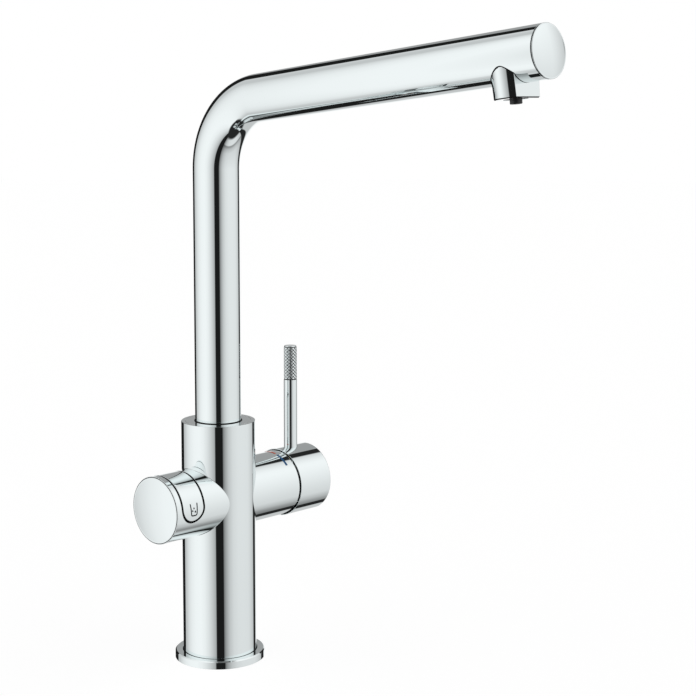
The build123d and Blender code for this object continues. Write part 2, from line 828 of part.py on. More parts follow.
def make_outlet_block():
    """Tapering round body cut by a flat front, seated on the underside of the tube."""
    height = outlet_drop - outlet_root_drop
    round_body = Cone(outlet_root_radius, outlet_radius, height, align=(Align.CENTER, Align.CENTER, Align.MIN))
    shape = Pos(0, outlet_shift, outlet_root_drop) * round_body
    shape -= Pos(0, outlet_front, 0) * Box(LONG, LONG, LONG, align=(Align.CENTER, Align.MIN, Align.CENTER))
    front = shape.faces().sort_by(Axis.Y)[-1]
    upright = [e for e in front.edges() if abs(e.tangent_at(0.5).Z) > 0.9]
    shape = fillet(upright, outlet_corner)
    shape -= Rot(90, 0, 0) * Cylinder(tube_radius, LONG)
    shape -= Cylinder(outlet_bore_dia / 2, outlet_drop + 1, align=(Align.CENTER, Align.CENTER, Align.MIN))
    return spout_plane(outlet_distance, spout_down) * shape


def make_aerator():
    top = outlet_drop - aerator_recess - aerator_length
    insert = Pos(0, 0, top) * Cylinder(
        outlet_bore_dia / 2 - running_fit, aerator_length, align=(Align.CENTER, Align.CENTER, Align.MIN)
    )
    insert -= Cylinder(nozzle_dia / 2 + running_fit, LONG)
    for place in PolarLocations(aerator_hole_circle / 2, aerator_hole_count):
        insert -= place * Cylinder(aerator_hole_dia / 2, LONG)
    return spout_plane(outlet_distance, spout_down) * insert


def make_filter_nozzle():
    height = nozzle_drop - hose_end_drop
    nozzle = Cylinder(nozzle_dia / 2, height, align=(Align.CENTER, Align.CENTER, Align.MIN))
    nozzle = chamfer(nozzle.edges().group_by(Axis.Z)[-1], nozzle_edge)
    nozzle -= Cylinder(nozzle_bore_dia / 2, LONG)
    return spout_plane(outlet_distance, spout_down) * (Pos(0, 0, hose_end_drop) * nozzle)


def make_filter_hose():
    turn = spout_corner + spout_direction * outlet_distance
    end = turn + spout_down * hose_end_drop
    path = FilletPolyline((0, 0, hose_start), spout_corner, turn, end, radius=(bend_radius, hose_end_bend))
    outline = Circle(hose_dia / 2) - Circle(hose_bore_dia / 2)
    return sweep(Plane(origin=(0, 0, hose_start)) * outline, path=path)


PIECES = {
    "base_flange": make_base_flange,
    "base_gasket": make_base_gasket,
    "mixer_body": make_mixer_body,
    "hot_mark": make_hot_mark,
    "cold_mark": make_cold_mark,
    "waterway_core": make_waterway_core,
    "filter_spigot": make_filter_spigot,
    "cartridge_housing": make_cartridge_housing,
    "cartridge_nut": make_cartridge_nut,
    "cartridge_seals": make_cartridge_seals,
    "fixed_disc": make_fixed_disc,
    "sliding_disc": make_sliding_disc,
    "disc_driver": make_disc_driver,
    "spindle_guide": make_spindle_guide,
    "pivot_pin": make_pivot_pin,
    "lever_stem": make_lever_stem,
    "lever_cap": make_lever_cap,
    "handle_rod": make_handle_rod,
    "cap_grub_screw": make_cap_grub_screw,
    "screw_plug": make_screw_plug,
    "selector_rocker": make_selector_rocker,
    "selector_carrier": make_selector_carrier,
    "push_switches": make_push_switches,
    "rocker_pin": make_rocker_pin,
    "return_springs": make_return_springs,
    "circuit_board": make_circuit_board,
    "end_cap": make_end_cap,
    "end_cap_seal": make_end_cap_seal,
    "control_lead": make_control_lead,
    "lead_plug": make_lead_plug,
    "thrust_ring": make_thrust_ring,
    "stop_ring": make_stop_ring,
    "lock_screw": make_lock_screw,
    "slide_ring": make_slide_ring,
    "collar_ring": make_collar_ring,
    "spout_sleeve": make_spout_sleeve,
    "sleeve_seals": make_sleeve_seals,
    "hose_coupling": make_hose_coupling,
    "filter_hose": make_filter_hose,
    "spout_tube": make_spout_tube,
    "spout_end_lid": make_spout_end_lid,
    "outlet_block": make_outlet_block,
    "aerator": make_aerator,
    "filter_nozzle": make_filter_nozzle,
}

os.makedirs("parts", exist_ok=True)
for name, make in PIECES.items():
    export_step(make(), f"parts/{name}.step")
print("disc slide travel, mm:", round(slider_travel, 4))
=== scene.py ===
"""Visible skin, finishes and studio of a kitchen mixer tap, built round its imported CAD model.

Everything is in metres: Z is up, the spout points to -Y, the mixing lever is on +X and the filter selector
on -X.
"""

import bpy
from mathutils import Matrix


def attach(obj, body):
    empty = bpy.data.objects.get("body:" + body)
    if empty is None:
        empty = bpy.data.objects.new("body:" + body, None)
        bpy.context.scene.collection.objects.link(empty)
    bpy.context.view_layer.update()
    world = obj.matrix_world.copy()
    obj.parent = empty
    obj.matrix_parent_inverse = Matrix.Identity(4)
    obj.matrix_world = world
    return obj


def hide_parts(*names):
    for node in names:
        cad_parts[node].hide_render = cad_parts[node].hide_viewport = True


bl_info = {
    "name": "Filtered Water Mixer Tap",
    "version": (1, 0, 0),
    "blender": (4, 5, 0),
    "location": "3D View > Sidebar > Tap",
    "description": "Builds the chrome skin, the finishes and the studio of a kitchen mixer tap",
    "category": "Object",
}

from math import atan2, ceil, cos, pi, radians, sin, sqrt, tan

import bpy
import numpy as np
from bpy.props import FloatProperty, FloatVectorProperty, IntProperty, PointerProperty
from mathutils import Matrix, Vector

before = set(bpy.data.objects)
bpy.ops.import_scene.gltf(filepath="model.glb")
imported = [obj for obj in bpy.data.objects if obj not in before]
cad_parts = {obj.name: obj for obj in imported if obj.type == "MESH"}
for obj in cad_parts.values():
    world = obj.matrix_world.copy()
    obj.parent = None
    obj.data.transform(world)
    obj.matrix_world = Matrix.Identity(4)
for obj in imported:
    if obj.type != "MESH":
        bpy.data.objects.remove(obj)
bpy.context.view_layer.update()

X_AXIS = np.array((1.0, 0.0, 0.0))
Y_AXIS = np.array((0.0, 1.0, 0.0))
Z_AXIS = np.array((0.0, 0.0, 1.0))
FULL_TURN = 2 * pi


# Sizes and colours


def length(name, description, default):
    return FloatProperty(
        name=name, description=description, default=default, min=0.0, unit="LENGTH", precision=5
    )


def position(name, description, default):
    return FloatProperty(name=name, description=description, default=default, unit="LENGTH", precision=5)


def turn(name, description, default):
    return FloatProperty(name=name, description=description, default=radians(default), subtype="ANGLE")


def share(name, description, default):
    return FloatProperty(
        name=name, description=description, default=default, min=0.0, max=1.0, subtype="FACTOR"
    )


def count(name, description, default):
    return IntProperty(name=name, description=description, default=default, min=4, max=40)


def colour(name, description, default):
    return FloatVectorProperty(
        name=name, description=description, default=default, min=0.0, max=1.0, size=3, subtype="COLOR"
    )


class TapBodySizes(bpy.types.PropertyGroup):
    radius: length("Body radius", "Outer radius of the upright body", 0.0225)
    top: position("Body top", "Height of the body's upper edge", 0.1478)
    bore: length("Body bore", "Radius of the body's bore at the collar ring", 0.02)
    branch_height: position("Branch height", "Height of the axis of both side branches", 0.1006)
    weld: length("Weld radius", "Radius where the branches run into the body", 0.0004)
    edge: length("Edge radius", "Rounding of the body's machined edges", 0.00025)
    flange_radius: length("Flange radius", "Outer radius of the base flange", 0.0275)
    flange_bore: length("Flange bore", "Inner radius of the base flange's underside", 0.0256)
    flange_height: length("Flange height", "Height of the base flange", 0.0048)
    flange_chamfer: length("Flange chamfer", "Chamfer round the top of the base flange", 0.0007)
    seat: length("Body seat", "Height at which the body stands in the flange", 0.003)
    groove: length("Groove", "Width of the groove between the body's foot and the flange", 0.0005)
    collar_bore: length("Collar bore", "Inner radius of the collar ring round the spout", 0.01445)
    wiper_bore: length("Wiper bore", "Inner radius of the wiper lip round the spout", 0.01404)
    wiper_rise: length("Wiper rise", "How far the wiper lip stands above the body's top", 0.0004)
    wiper_depth: length("Wiper depth", "How far the wiper lip reaches into the collar ring", 0.001)
    collar_radius: length("Collar radius", "Outer radius of the collar ring round the spout", 0.01995)
    collar_depth: length("Collar depth", "How far the collar ring reaches into the body", 0.0036)
    lock_screw_height: position("Locking screw height", "Height of the locking screw at the back", 0.1369)
    lock_screw_radius: length("Locking screw radius", "Radius of the locking screw's hole", 0.002)


class TapSelectorSizes(bpy.types.PropertyGroup):
    radius: length("Selector radius", "Outer radius of the selector branch", 0.02025)
    bore: length("Selector bore", "Radius of the selector branch's bore", 0.0176)
    seam: length("Cap seam", "Distance from the body's axis to the end cap's seam", 0.0507)
    reach: length("Selector reach", "Distance from the body's axis to the end cap's face", 0.0516)
    lip: length("Cap cone", "Width of the cone round the end cap's face", 0.0009)
    crown: length("Cap crown", "How far the end cap's face is crowned", 0.0006)
    lean: turn("Cap lean", "Lean of the end cap's face at its rim", 12.0)
    rocker_place: length("Rocker place", "Distance from the body's axis to the rocker's middle", 0.03825)
    rocker_half_width: length("Rocker half width", "Half the width of the rocker, and its end radius", 0.0077)
    rocker_end: turn("Rocker end", "Angle from the top at which the rocker's round ends begin", 82.4)
    rocker_gap: length("Rocker gap", "Gap between the rocker and its window", 0.0013)
    rocker_bore: length("Rocker bore", "Inner radius of the rocker", 0.018)
    rocker_edge: length("Rocker edge", "Rounding of the rocker's edge", 0.0002)
    window_edge: length("Window edge", "Rounding of the window's edge", 0.00015)
    sign_place: length("Sign place", "Distance from the body's axis to the tumbler sign's middle", 0.03785)
    sign_top: length("Sign top", "Way round the rocker from its top to the tumbler's rim", 0.0264)
    sign_height: length("Sign height", "Height of the tumbler sign", 0.0073)
    sign_rim: length("Sign rim", "Half the width of the tumbler at its rim", 0.0026)
    sign_foot: length("Sign foot", "Half the width of the tumbler at its foot", 0.00215)
    sign_corner: length("Sign corner", "Rounding of the tumbler at its foot", 0.0011)
    sign_stroke: length("Sign stroke", "Width of the sign's strokes", 0.0008)
    sign_rise: length("Sign rise", "How far the print stands proud of the rocker", 0.00002)


class TapLeverSizes(bpy.types.PropertyGroup):
    branch_radius: length("Lever branch radius", "Outer radius of the lever branch", 0.0204)
    branch_bore: length("Lever branch bore", "Radius of the lever branch's bore", 0.018)
    branch_reach: length("Lever branch reach", "Distance from the body's axis to the branch's end", 0.0497)
    relief_radius: length("Relief radius", "Radius of the branch's rounded lower end", 0.0115)
    relief_drop: length("Relief drop", "How far below the branch's axis the rounding begins", 0.0088)
    mark_place: length("Mark place", "Distance from the body's axis to the hot and cold marks", 0.0439)
    mark_width: length("Mark width", "Width of the hot and cold marks", 0.0017)
    mark_rise: length("Mark rise", "How far the enamel stands proud of the branch", 0.00003)
    hot_from: turn("Hot mark start", "Angle of the hot mark's start from the top", -14.0)
    hot_to: turn("Hot mark end", "Angle of the hot mark's end from the top", 12.5)
    cold_from: turn("Cold mark start", "Angle of the cold mark's start from the top", 17.5)
    cold_to: turn("Cold mark end", "Angle of the cold mark's end from the top", 46.5)
    cap_radius: length("Cap radius", "Outer radius of the lever cap", 0.0213)
    cap_start: length("Cap start", "Distance from the body's axis to the cap's rim", 0.0504)
    cap_reach: length("Cap reach", "Distance from the body's axis to the cap's face", 0.0774)
    cap_edge: length("Cap edge", "Rounding round the cap's face", 0.0008)
    cap_crown: length("Cap crown", "How far the cap's face is crowned", 0.0004)
    cap_lean: turn("Cap lean", "Lean of the cap's face at its rim", 12.0)
    rim_wall: length("Rim wall", "Thickness of the cap's rim", 0.0004)
    rim_bevel: length("Rim bevel", "Depth of the bevel inside the cap's rim", 0.0026)
    cap_wall: length("Cap wall", "Thickness of the cap's wall", 0.0014)
    plug_radius: length("Plug radius", "Radius of the screw plug under the cap", 0.0025)
    handle_place: length("Handle place", "Distance from the body's axis to the handle rod", 0.0619)
    handle_radius: length("Handle radius", "Radius of the handle rod", 0.0042)
    handle_foot: length("Handle foot", "Height of the rod's lower end above the branch's axis", 0.0075)
    handle_top: position("Handle top", "Height of the top of the handle rod", 0.187)
    knurl_length: length("Knurl length", "Length of the knurled grip", 0.0217)
    knurl_radius: length("Knurl radius", "Radius over the knurls", 0.0041)
    knurl_depth: length("Knurl depth", "Depth of the knurling", 0.00035)
    # Knurl shade sets how far up each groove the painted shade of the gap finish reaches.
    knurl_shade: share("Knurl shade", "How far up its walls a groove of the knurling is bare and dark", 0.7)
    knurl_columns: count("Knurl columns", "Diamonds round the grip", 10)
    knurl_rows: count("Knurl rows", "Diamonds along the grip", 10)


class TapSpoutSizes(bpy.types.PropertyGroup):
    radius: length("Tube radius", "Outer radius of the spout tube", 0.014)
    bore: length("Tube bore", "Inner radius of the spout tube", 0.0128)
    foot: position("Tube foot", "Height of the tube's lower end inside the body", 0.1394)
    corner: position("Spout corner", "Height at which the upright and the spout's axes cross", 0.3384)
    rise: turn("Spout rise", "Angle at which the spout rises towards its tip", 6.4)
    reach: length("Spout length", "Length of the spout from its corner to its end", 0.246)
    bend: length("Bend radius", "Radius of the bend on the tube's axis", 0.0425)
    lid: length("Lid thickness", "Thickness of the lid at the spout's end", 0.0008)
    seam: length("Lid seam", "Gap between the tube and its lid", 0.0006)
    lid_edge: length("Lid edge", "Rounding round the lid", 0.00035)
    lid_crown: length("Lid crown", "How far the lid's face is crowned", 0.0003)
    lid_lean: turn("Lid lean", "Lean of the lid's face at its rim", 17.5)
    outlet_place: length("Outlet place", "Distance of the nozzle from the spout's corner", 0.223)
    outlet_top: length("Outlet top", "Where the outlet block starts, below the spout's axis", 0.004)
    outlet_bottom: length("Outlet bottom", "Lower face of the outlet block, below the spout's axis", 0.0214)
    outlet_top_radius: length("Outlet top radius", "Radius of the outlet block at its top", 0.0128)
    outlet_bottom_radius: length("Outlet bottom radius", "Radius of the outlet block at its bottom", 0.0118)
    outlet_shift: length("Outlet shift", "How far the block's middle lies in front of the nozzle", 0.0009)
    outlet_front: length("Outlet front", "Distance from the nozzle to the block's flat front", 0.0079)
    outlet_corner: length("Outlet corner", "Rounding of the block's upright front edges", 0.0005)
    # The outlet's edge chamfer and its seam with the tube are painted dark as shade with the gap finish.
    outlet_edge: length("Outlet edge", "Dark chamfer round the block's lower edge", 0.0006)
    outlet_seam: length("Outlet seam", "Width of the dark seam between the block and the tube", 0.0004)
    outlet_bore: length("Outlet bore", "Radius of the recess for the aerator", 0.0064)


class TapFinishes(bpy.types.PropertyGroup):
    chrome: colour("Chrome", "Colour of the polished chrome", (0.87, 0.925, 0.93))
    chrome_roughness: share("Chrome roughness", "Roughness of the polished chrome", 0.018)
    brass: colour("Brass", "Colour of the machined brass inside", (0.78, 0.6, 0.3))
    steel: colour("Steel", "Colour of the stainless steel pins and screws", (0.62, 0.62, 0.63))
    white_plastic: colour("White plastic", "Colour of the cartridge and the rings", (0.84, 0.84, 0.81))
    grey_plastic: colour("Grey plastic", "Colour of the aerator", (0.32, 0.33, 0.34))
    dark_plastic: colour("Dark plastic", "Colour of the carrier and the nozzle", (0.018, 0.018, 0.02))
    ceramic: colour("Ceramic", "Colour of the cartridge's ceramic discs", (0.86, 0.85, 0.82))
    rubber: colour("Rubber", "Colour of the seals and the base gasket", (0.02, 0.02, 0.021))
    hot_enamel: colour("Hot enamel", "Colour of the hot mark", (0.8, 0.12, 0.045))
    cold_enamel: colour("Cold enamel", "Colour of the cold mark", (0.0, 0.11, 0.3))
    board: colour("Circuit board", "Colour of the lacquered circuit board", (0.02, 0.19, 0.08))
    # The gap colour is painted shade: a near black that stands in for the shade deep in the chrome's gaps,
    # grooves and seams.
    gap: colour("Gap", "Colour of the bare walls deep in the gaps", (0.012, 0.012, 0.012))
    print: colour("Print", "Colour of the printed sign on the rocker", (0.012, 0.012, 0.014))


class TapStudio(bpy.types.PropertyGroup):
    floor_colour: colour("Floor colour", "Colour of the studio's floor", (0.9, 0.9, 0.9))
    floor_radius: length("Floor radius", "Radius of the studio's floor", 6.0)
    shadow: share("Shadow", "How much of the floor's own shade the camera sees", 0.2)
    card_distance: length("Card distance", "Distance of the long card from the tap", 0.296)
    card_front: position("Card front", "Place of the long card's front edge along Y", -0.521)
    card_back: position("Card back", "Place of the long card's rear edge along Y", 1.1)
    card_foot: position("Card foot", "Height of the long card's lower edge", -0.6)
    card_head: position("Card head", "Height of the long card's upper edge", 1.5)
    card_eye: position("Card eye", "Height from which the card's shades are set out", 0.18)
    camera_place: FloatVectorProperty(
        name="Camera place", description="Where the camera stands", default=(-0.66348, -0.73269, 0.34252),
        subtype="TRANSLATION", unit="LENGTH",
    )
    camera_yaw: turn("Camera yaw", "Compass angle of the view from +X towards +Y", 43.257)
    camera_pitch: turn("Camera pitch", "Angle of the view above the horizon", -6.978)
    camera_roll: turn("Camera roll", "Turn of the camera about its view", 0.071)
    camera_lens: FloatProperty(
        name="Focal length", description="Focal length of the lens", default=85.048, unit="CAMERA"
    )
    camera_shift: FloatProperty(
        name="Vertical shift", description="Vertical shift of the lens", default=-0.07
    )


# Meshes made of grids with exact normals

# Roundings of small edges, and the least difference that counts.
CRISP_EDGE = 0.0001
TURNED_EDGE = 0.00012
TINY = 1e-9
# Where a turned surface stands, its axis and its direction at angle 0.
UPRIGHT = (np.zeros(3), Z_AXIS, X_AXIS)
FINISHES = {}


def steps_between(marks, step):
    """Angles or places from the first mark to the last, through every mark, at most a step apart."""
    runs = [np.linspace(a, b, ceil(abs(b - a) / step - TINY) + 1)[:-1] for a, b in zip(marks, marks[1:])]
    return np.append(np.concatenate(runs), marks[-1])


def whole_turn(count):
    return np.linspace(0, FULL_TURN, count + 1)


def unit(vectors):
    return vectors / np.maximum(np.linalg.norm(vectors, axis=-1, keepdims=True), 1e-12)


def spread(values, rows):
    """Repeats a row of values or vectors over a number of rows."""
    return np.repeat(np.asarray(values)[None], rows, axis=0)


def radial(axis, across, angles):
    """Directions away from an axis, at angles from the direction across it."""
    return np.cos(angles)[:, None] * across + np.sin(angles)[:, None] * np.cross(axis, across)


def rounded_profile(corners, steps):
    """Points and outward normals of a turned profile.

    Each corner is (along, radius, rounding); the metal is on the right of the direction of travel.
    """
    corners = [tuple(c) + (0.0,) * (3 - len(c)) for c in corners]
    places = np.array([c[:2] for c in corners])
    heading = unit(np.diff(places, axis=0))
    rows = []
    for i, (_, _, rounding) in enumerate(corners):
        before = heading[max(i - 1, 0)]
        after = heading[min(i, len(heading) - 1)]
        bend = atan2(before[0] * after[1] - before[1] * after[0], before @ after)
        arm = rounding if bend > 0 else -rounding
        start = places[i] - before * rounding * abs(tan(bend / 2))
        centre = start + np.array((-before[1], before[0])) * arm
        for t in np.linspace(0, 1, (steps if rounding else 1) + 1):
            direction = atan2(before[1], before[0]) + bend * t
            normal = (-sin(direction), cos(direction))
            spot = centre - np.array(normal) * arm if rounding else places[i]
            rows.append((*spot, *normal))
    return np.array(rows)


class Skin:
    """Grids of points with a normal at each, welded into one smooth mesh."""

    def __init__(self):
        self.points = []
        self.normals = []
        self.quads = []
        self.slots = []
        self.count = 0

    def grid(self, points, normals, slot=0):
        """Adds rows of points; each face turns the way its normals point.

        slot is one finish for all faces, or one for each.
        """
        points, normals = np.broadcast_arrays(points, unit(np.asarray(normals, float)))
        rows, columns = points.shape[:2]
        index = np.arange(rows * columns).reshape(rows, columns)
        quads = np.stack((index[:-1, :-1], index[1:, :-1], index[1:, 1:], index[:-1, 1:]), -1).reshape(-1, 4)
        flat = points.reshape(-1, 3)
        corners = flat[quads]
        facing = np.cross(corners[:, 2] - corners[:, 0], corners[:, 3] - corners[:, 1])
        agree = (facing * normals.reshape(-1, 3)[quads].mean(1)).sum()
        self.quads.append((quads if agree > 0 else quads[:, ::-1]) + self.count)
        self.slots.append(np.broadcast_to(slot, len(quads)))
        self.points.append(flat)
        self.normals.append(normals.reshape(-1, 3))
        self.count += len(flat)

    def strip(self, first, last, normals, slot=0):
        """Adds a strip between two edges of points that share their normals."""
        self.grid(np.stack((first, last)), normals, slot)

    def rounding(self, first, first_normals, corner, last, last_normals, steps=4):
        """Rounds the sharp corner between two edges of points."""
        t = np.linspace(0, 1, steps + 1)[:, None, None]
        points = (1 - t) ** 2 * first + 2 * t * (1 - t) * corner + t**2 * last
        self.grid(points, (1 - t) * first_normals + t * last_normals)

    def lathe(self, seat, angles, corners, steps=5, slot=0):
        """Turns a profile about the axis of its seat."""
        origin, axis, across = seat
        rows = rounded_profile(corners, steps)[:, :, None, None]
        outward = radial(axis, across, angles)
        points = origin + rows[:, 0] * axis + rows[:, 1] * outward
        self.grid(points, rows[:, 2] * axis + rows[:, 3] * outward, slot)

    def crowned_face(self, seat, angles, apex, radius, crown, lean):
        """Round face that falls by its crown from the apex to its rim."""
        origin, axis, across = seat
        outward = radial(axis, across, angles)
        q = np.linspace(0, 1, 13)[:, None, None]
        points = origin + (apex - crown * q**2) * axis + q * radius * outward
        self.grid(points, np.cos(lean * q) * axis + np.sin(lean * q) * outward)

    def mesh(self, name):
        """The mesh of all grids; points that coincide become one."""
        points, normals, quads, slots = (
            np.concatenate(rows) for rows in (self.points, self.normals, self.quads, self.slots)
        )
        places, which = np.unique(np.round(points, 8), axis=0, return_inverse=True)
        spots = which.reshape(-1)[quads].tolist()
        faces, loops, kept_slots = [], [], []
        for quad, spot, slot in zip(quads.tolist(), spots, slots.tolist()):
            kept = [i for i in range(4) if spot[i] != spot[i - 1]]
            if len(kept) > 2:
                faces.append([spot[i] for i in kept])
                loops.extend(quad[i] for i in kept)
                kept_slots.append(slot)
        mesh = bpy.data.meshes.new(name)
        mesh.from_pydata(places.tolist(), [], faces)
        mesh.polygons.foreach_set("use_smooth", np.ones(len(faces), bool))
        mesh.polygons.foreach_set("material_index", kept_slots)
        mesh.normals_split_custom_set(normals[loops].tolist())
        return mesh


def add_object(name, data):
    thing = bpy.data.objects.new(name, data)
    bpy.context.scene.collection.objects.link(thing)
    return thing


def place_piece(skin, name, body, slot, node=None, finish=None):
    """Makes a piece of a skin, on its body and in its slot, in place of a CAD node if it has one.

    Its faces in slot 1 are the dark ones, painted shade on the walls deep in a gap, a groove, a chamfer or a
    seam.
    """
    mesh = skin.mesh(name)
    mesh.materials.append(FINISHES[finish or slot])
    # Pieces with faces in slot 1 get the painted-shade gap finish as their second material.
    if any(slots.any() for slots in skin.slots):
        mesh.materials.append(FINISHES["gap"])
    thing = add_object(name, mesh)
    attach(thing, body)
    if node:
        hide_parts(node)


def rectangle_edge(angles, half_width, half_height):
    """Where rays from the middle of a rectangle, at angles from its upright, meet its edge."""
    s, c = np.sin(angles), np.cos(angles)
    reach = np.minimum(half_width / np.maximum(np.abs(s), TINY), half_height / np.maximum(np.abs(c), TINY))
    return np.stack((reach * s, reach * c), -1)


def round_hole(ring, radius, half_side, t):
    """Places across and along, from a round hole to the square round it."""
    hole = radius * np.stack((np.sin(ring), np.cos(ring)), -1)
    spots = hole + t[..., None] * (rectangle_edge(ring, half_side, half_side) - hole)
    return spots[..., 0], spots[..., 1]


# Shader graphs


class Signal:
    """A shader socket that takes part in Python sums; each operator adds its Math node."""

    def __init__(self, graph, socket):
        self.graph = graph
        self.socket = socket

    def math(self, operation, *others):
        return self.graph.math(operation, self, *others)

    def __add__(self, other):
        return self.math("ADD", other)

    __radd__ = __add__

    def __sub__(self, other):
        return self.math("SUBTRACT", other)

    def __rsub__(self, other):
        return self.graph.math("SUBTRACT", other, self)

    def __mul__(self, other):
        return self.math("MULTIPLY", other)

    __rmul__ = __mul__

    def __truediv__(self, other):
        return self.math("DIVIDE", other)

    def __rtruediv__(self, other):
        return self.graph.math("DIVIDE", other, self)

    def over(self, start, end):
        """0 before start, 1 after end and smooth in between."""
        limits = {"Value": self, "From Min": start, "From Max": end}
        return self.graph.node("ShaderNodeMapRange", {"interpolation_type": "SMOOTHSTEP"}, limits)


class Graph:
    """Adds nodes to a material or a world."""

    def __init__(self, owner):
        owner.use_nodes = True
        self.tree = owner.node_tree
        self.tree.nodes.clear()

    def node(self, kind, settings=None, inputs=None, output=0):
        """A node with its settings made first, then its inputs; returns one of its outputs."""
        made = self.tree.nodes.new(kind)
        for name, value in (settings or {}).items():
            if name == "stops":
                set_stops(made.color_ramp, value)
            else:
                setattr(made, name, value)
        for name, value in (inputs or {}).items():
            if isinstance(value, Signal):
                self.tree.links.new(value.socket, made.inputs[name])
            else:
                made.inputs[name].default_value = value
        return Signal(self, made.outputs[output]) if len(made.outputs) else None

    def math(self, operation, *values):
        return self.node("ShaderNodeMath", {"operation": operation}, dict(enumerate(values)))

    def vector_math(self, operation, *values):
        return self.node("ShaderNodeVectorMath", {"operation": operation}, dict(enumerate(values)))

    def blend(self, factor, first, second):
        """First colour where the factor is 0 and second where it is 1."""
        first, second = (c if isinstance(c, Signal) else (*c, 1.0) for c in (first, second))
        # The sockets for colours come after those for numbers and vectors.
        return self.node("ShaderNodeMix", {"data_type": "RGBA"}, {0: factor, 6: first, 7: second}, output=2)

    def noise(self, scale, detail=2.0, stretch=None):
        """Cloudy value about 0.5 over the object, in places per metre."""
        place = self.node("ShaderNodeTexCoord", output=3)
        if stretch:
            place = self.vector_math("MULTIPLY", place, stretch)
        return self.node("ShaderNodeTexNoise", {}, {"Vector": place, "Scale": scale, "Detail": detail})

    def bump(self, height, distance, strength=1.0):
        return self.node("ShaderNodeBump", {}, {"Height": height, "Distance": distance, "Strength": strength})

    def surface(self, shader):
        self.node("ShaderNodeOutputMaterial", {}, {"Surface": shader})

    def principled(self, inputs):
        self.surface(self.node("ShaderNodeBsdfPrincipled", {}, inputs))


def set_stops(ramp, stops):
    """Gives a ramp its stops of grey, each a place and a level."""
    while len(ramp.elements) > 1:
        ramp.elements.remove(ramp.elements[-1])
    ramp.elements[0].position = stops[0][0]
    ramp.elements[0].color = (*grey(stops[0][1]), 1.0)
    for place, level in stops[1:]:
        ramp.elements.new(place).color = (*grey(level), 1.0)


def new_material(name):
    material = bpy.data.materials.new(name)
    return material, Graph(material)


def grey(level):
    return (level, level, level)


def shade(base, factor):
    return tuple(min(1.0, c * factor) for c in base)


def polished_chrome(finishes):
    """Mirror chrome with faint polishing haze and a trace of unevenness."""
    material, graph = new_material("polished_chrome")
    roughness = finishes.chrome_roughness
    haze = graph.noise(90.0, 4.0)
    plate = graph.noise(25.0)
    uneven = graph.noise(60.0, 1.0)
    graph.principled({
        "Base Color": graph.blend(plate, shade(finishes.chrome, 0.985), finishes.chrome),
        "Metallic": 1.0,
        "Roughness": roughness * 0.6 + haze * roughness * 0.8,
        "Normal": graph.bump(uneven, 0.0000015),
    })
    return material


def machined_metal(name, base_colour, roughness, mark_scale):
    """Turned metal: fine tool marks and slightly dulled patches."""
    material, graph = new_material(name)
    marks = graph.noise(mark_scale, 3.0, stretch=(1.0, 1.0, 14.0))
    patches = graph.noise(70.0, 3.0)
    graph.principled({
        "Base Color": graph.blend(patches, shade(base_colour, 0.85), base_colour),
        "Metallic": 1.0,
        "Roughness": roughness * 0.7 + marks * roughness * 0.6,
        "Normal": graph.bump(marks, 0.00004, 0.5),
    })
    return material


def moulded(name, base_colour, roughness, grain=900.0, depth=0.00002, gloss=0.5):
    """Moulded plastic, rubber, ceramic or lacquer: fine grain and slight clouding."""
    material, graph = new_material(name)
    fine = graph.noise(grain)
    clouds = graph.noise(45.0)
    graph.principled({
        "Base Color": graph.blend(clouds, shade(base_colour, 0.9), shade(base_colour, 1.05)),
        "Specular IOR Level": gloss,
        "Roughness": roughness * 0.85 + fine * roughness * 0.3,
        "Normal": graph.bump(fine, depth, 0.6),
    })
    return material


# Each moulded finish: its material and colour, then its roughness, grain per metre, grain depth and gloss.
MOULDED = {
    "white_plastic": ("white_acetal", "white_plastic", 0.45),
    "grey_plastic": ("grey_aerator_plastic", "grey_plastic", 0.5),
    "dark_plastic": ("dark_plastic", "dark_plastic", 0.42),
    "ceramic": ("lapped_ceramic", "ceramic", 0.12, 300.0, 0.000002),
    "seal_rubber": ("seal_rubber", "rubber", 0.65, 1200.0, 0.00003),
    "hot_enamel": ("hot_enamel", "hot_enamel", 0.4, 300.0, 0.000002),
    "cold_enamel": ("cold_enamel", "cold_enamel", 0.4, 300.0, 0.000002),
    "board": ("lacquered_board", "board", 0.3),
    "lead_jacket": ("lead_jacket", "rubber", 0.5),
    # The gap finish is painted shade for the walls of gaps, grooves, seams and the outlet's chamfer.
    "gap": ("bare_gap", "gap", 0.8, 900.0, 0.00002, 0.1),
    "print": ("printed_sign", "print", 0.4, 500.0, 0.000002, 0.2),
}

CAD_FINISHES = {
    "brass": ("waterway_core", "spout_sleeve", "cartridge_nut", "filter_spigot"),
    "white_plastic": (
        "cartridge_housing", "spindle_guide", "disc_driver", "thrust_ring", "slide_ring", "stop_ring",
        "hose_coupling", "filter_hose",
    ),
    "dark_plastic": ("lead_plug", "selector_carrier", "push_switches", "filter_nozzle", "screw_plug"),
    "grey_plastic": ("aerator",),
    "ceramic": ("fixed_disc", "sliding_disc"),
    "steel": ("pivot_pin", "lever_stem", "cap_grub_screw", "rocker_pin", "return_springs", "lock_screw"),
    "seal_rubber": ("base_gasket", "cartridge_seals", "end_cap_seal", "sleeve_seals"),
    "board": ("circuit_board",),
    "lead_jacket": ("control_lead",),
}


class TAP_OT_finishes(bpy.types.Operator):
    """Makes every finish and gives the CAD pieces inside the tap theirs"""

    bl_idname = "tap.finishes"
    bl_label = "Finishes"

    def execute(self, context):
        colours = context.scene.tap_finishes
        FINISHES["chrome"] = polished_chrome(colours)
        FINISHES["brass"] = machined_metal("machined_brass", colours.brass, 0.3, 400.0)
        FINISHES["steel"] = machined_metal("satin_steel", colours.steel, 0.28, 700.0)
        for finish, (material, tint, *surface) in MOULDED.items():
            FINISHES[finish] = moulded(material, getattr(colours, tint), *surface)
        for finish, nodes in CAD_FINISHES.items():
            for node in nodes:
                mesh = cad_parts[node].data
                mesh.materials.clear()
                mesh.materials.append(FINISHES[finish])
        return {"FINISHED"}


# Body

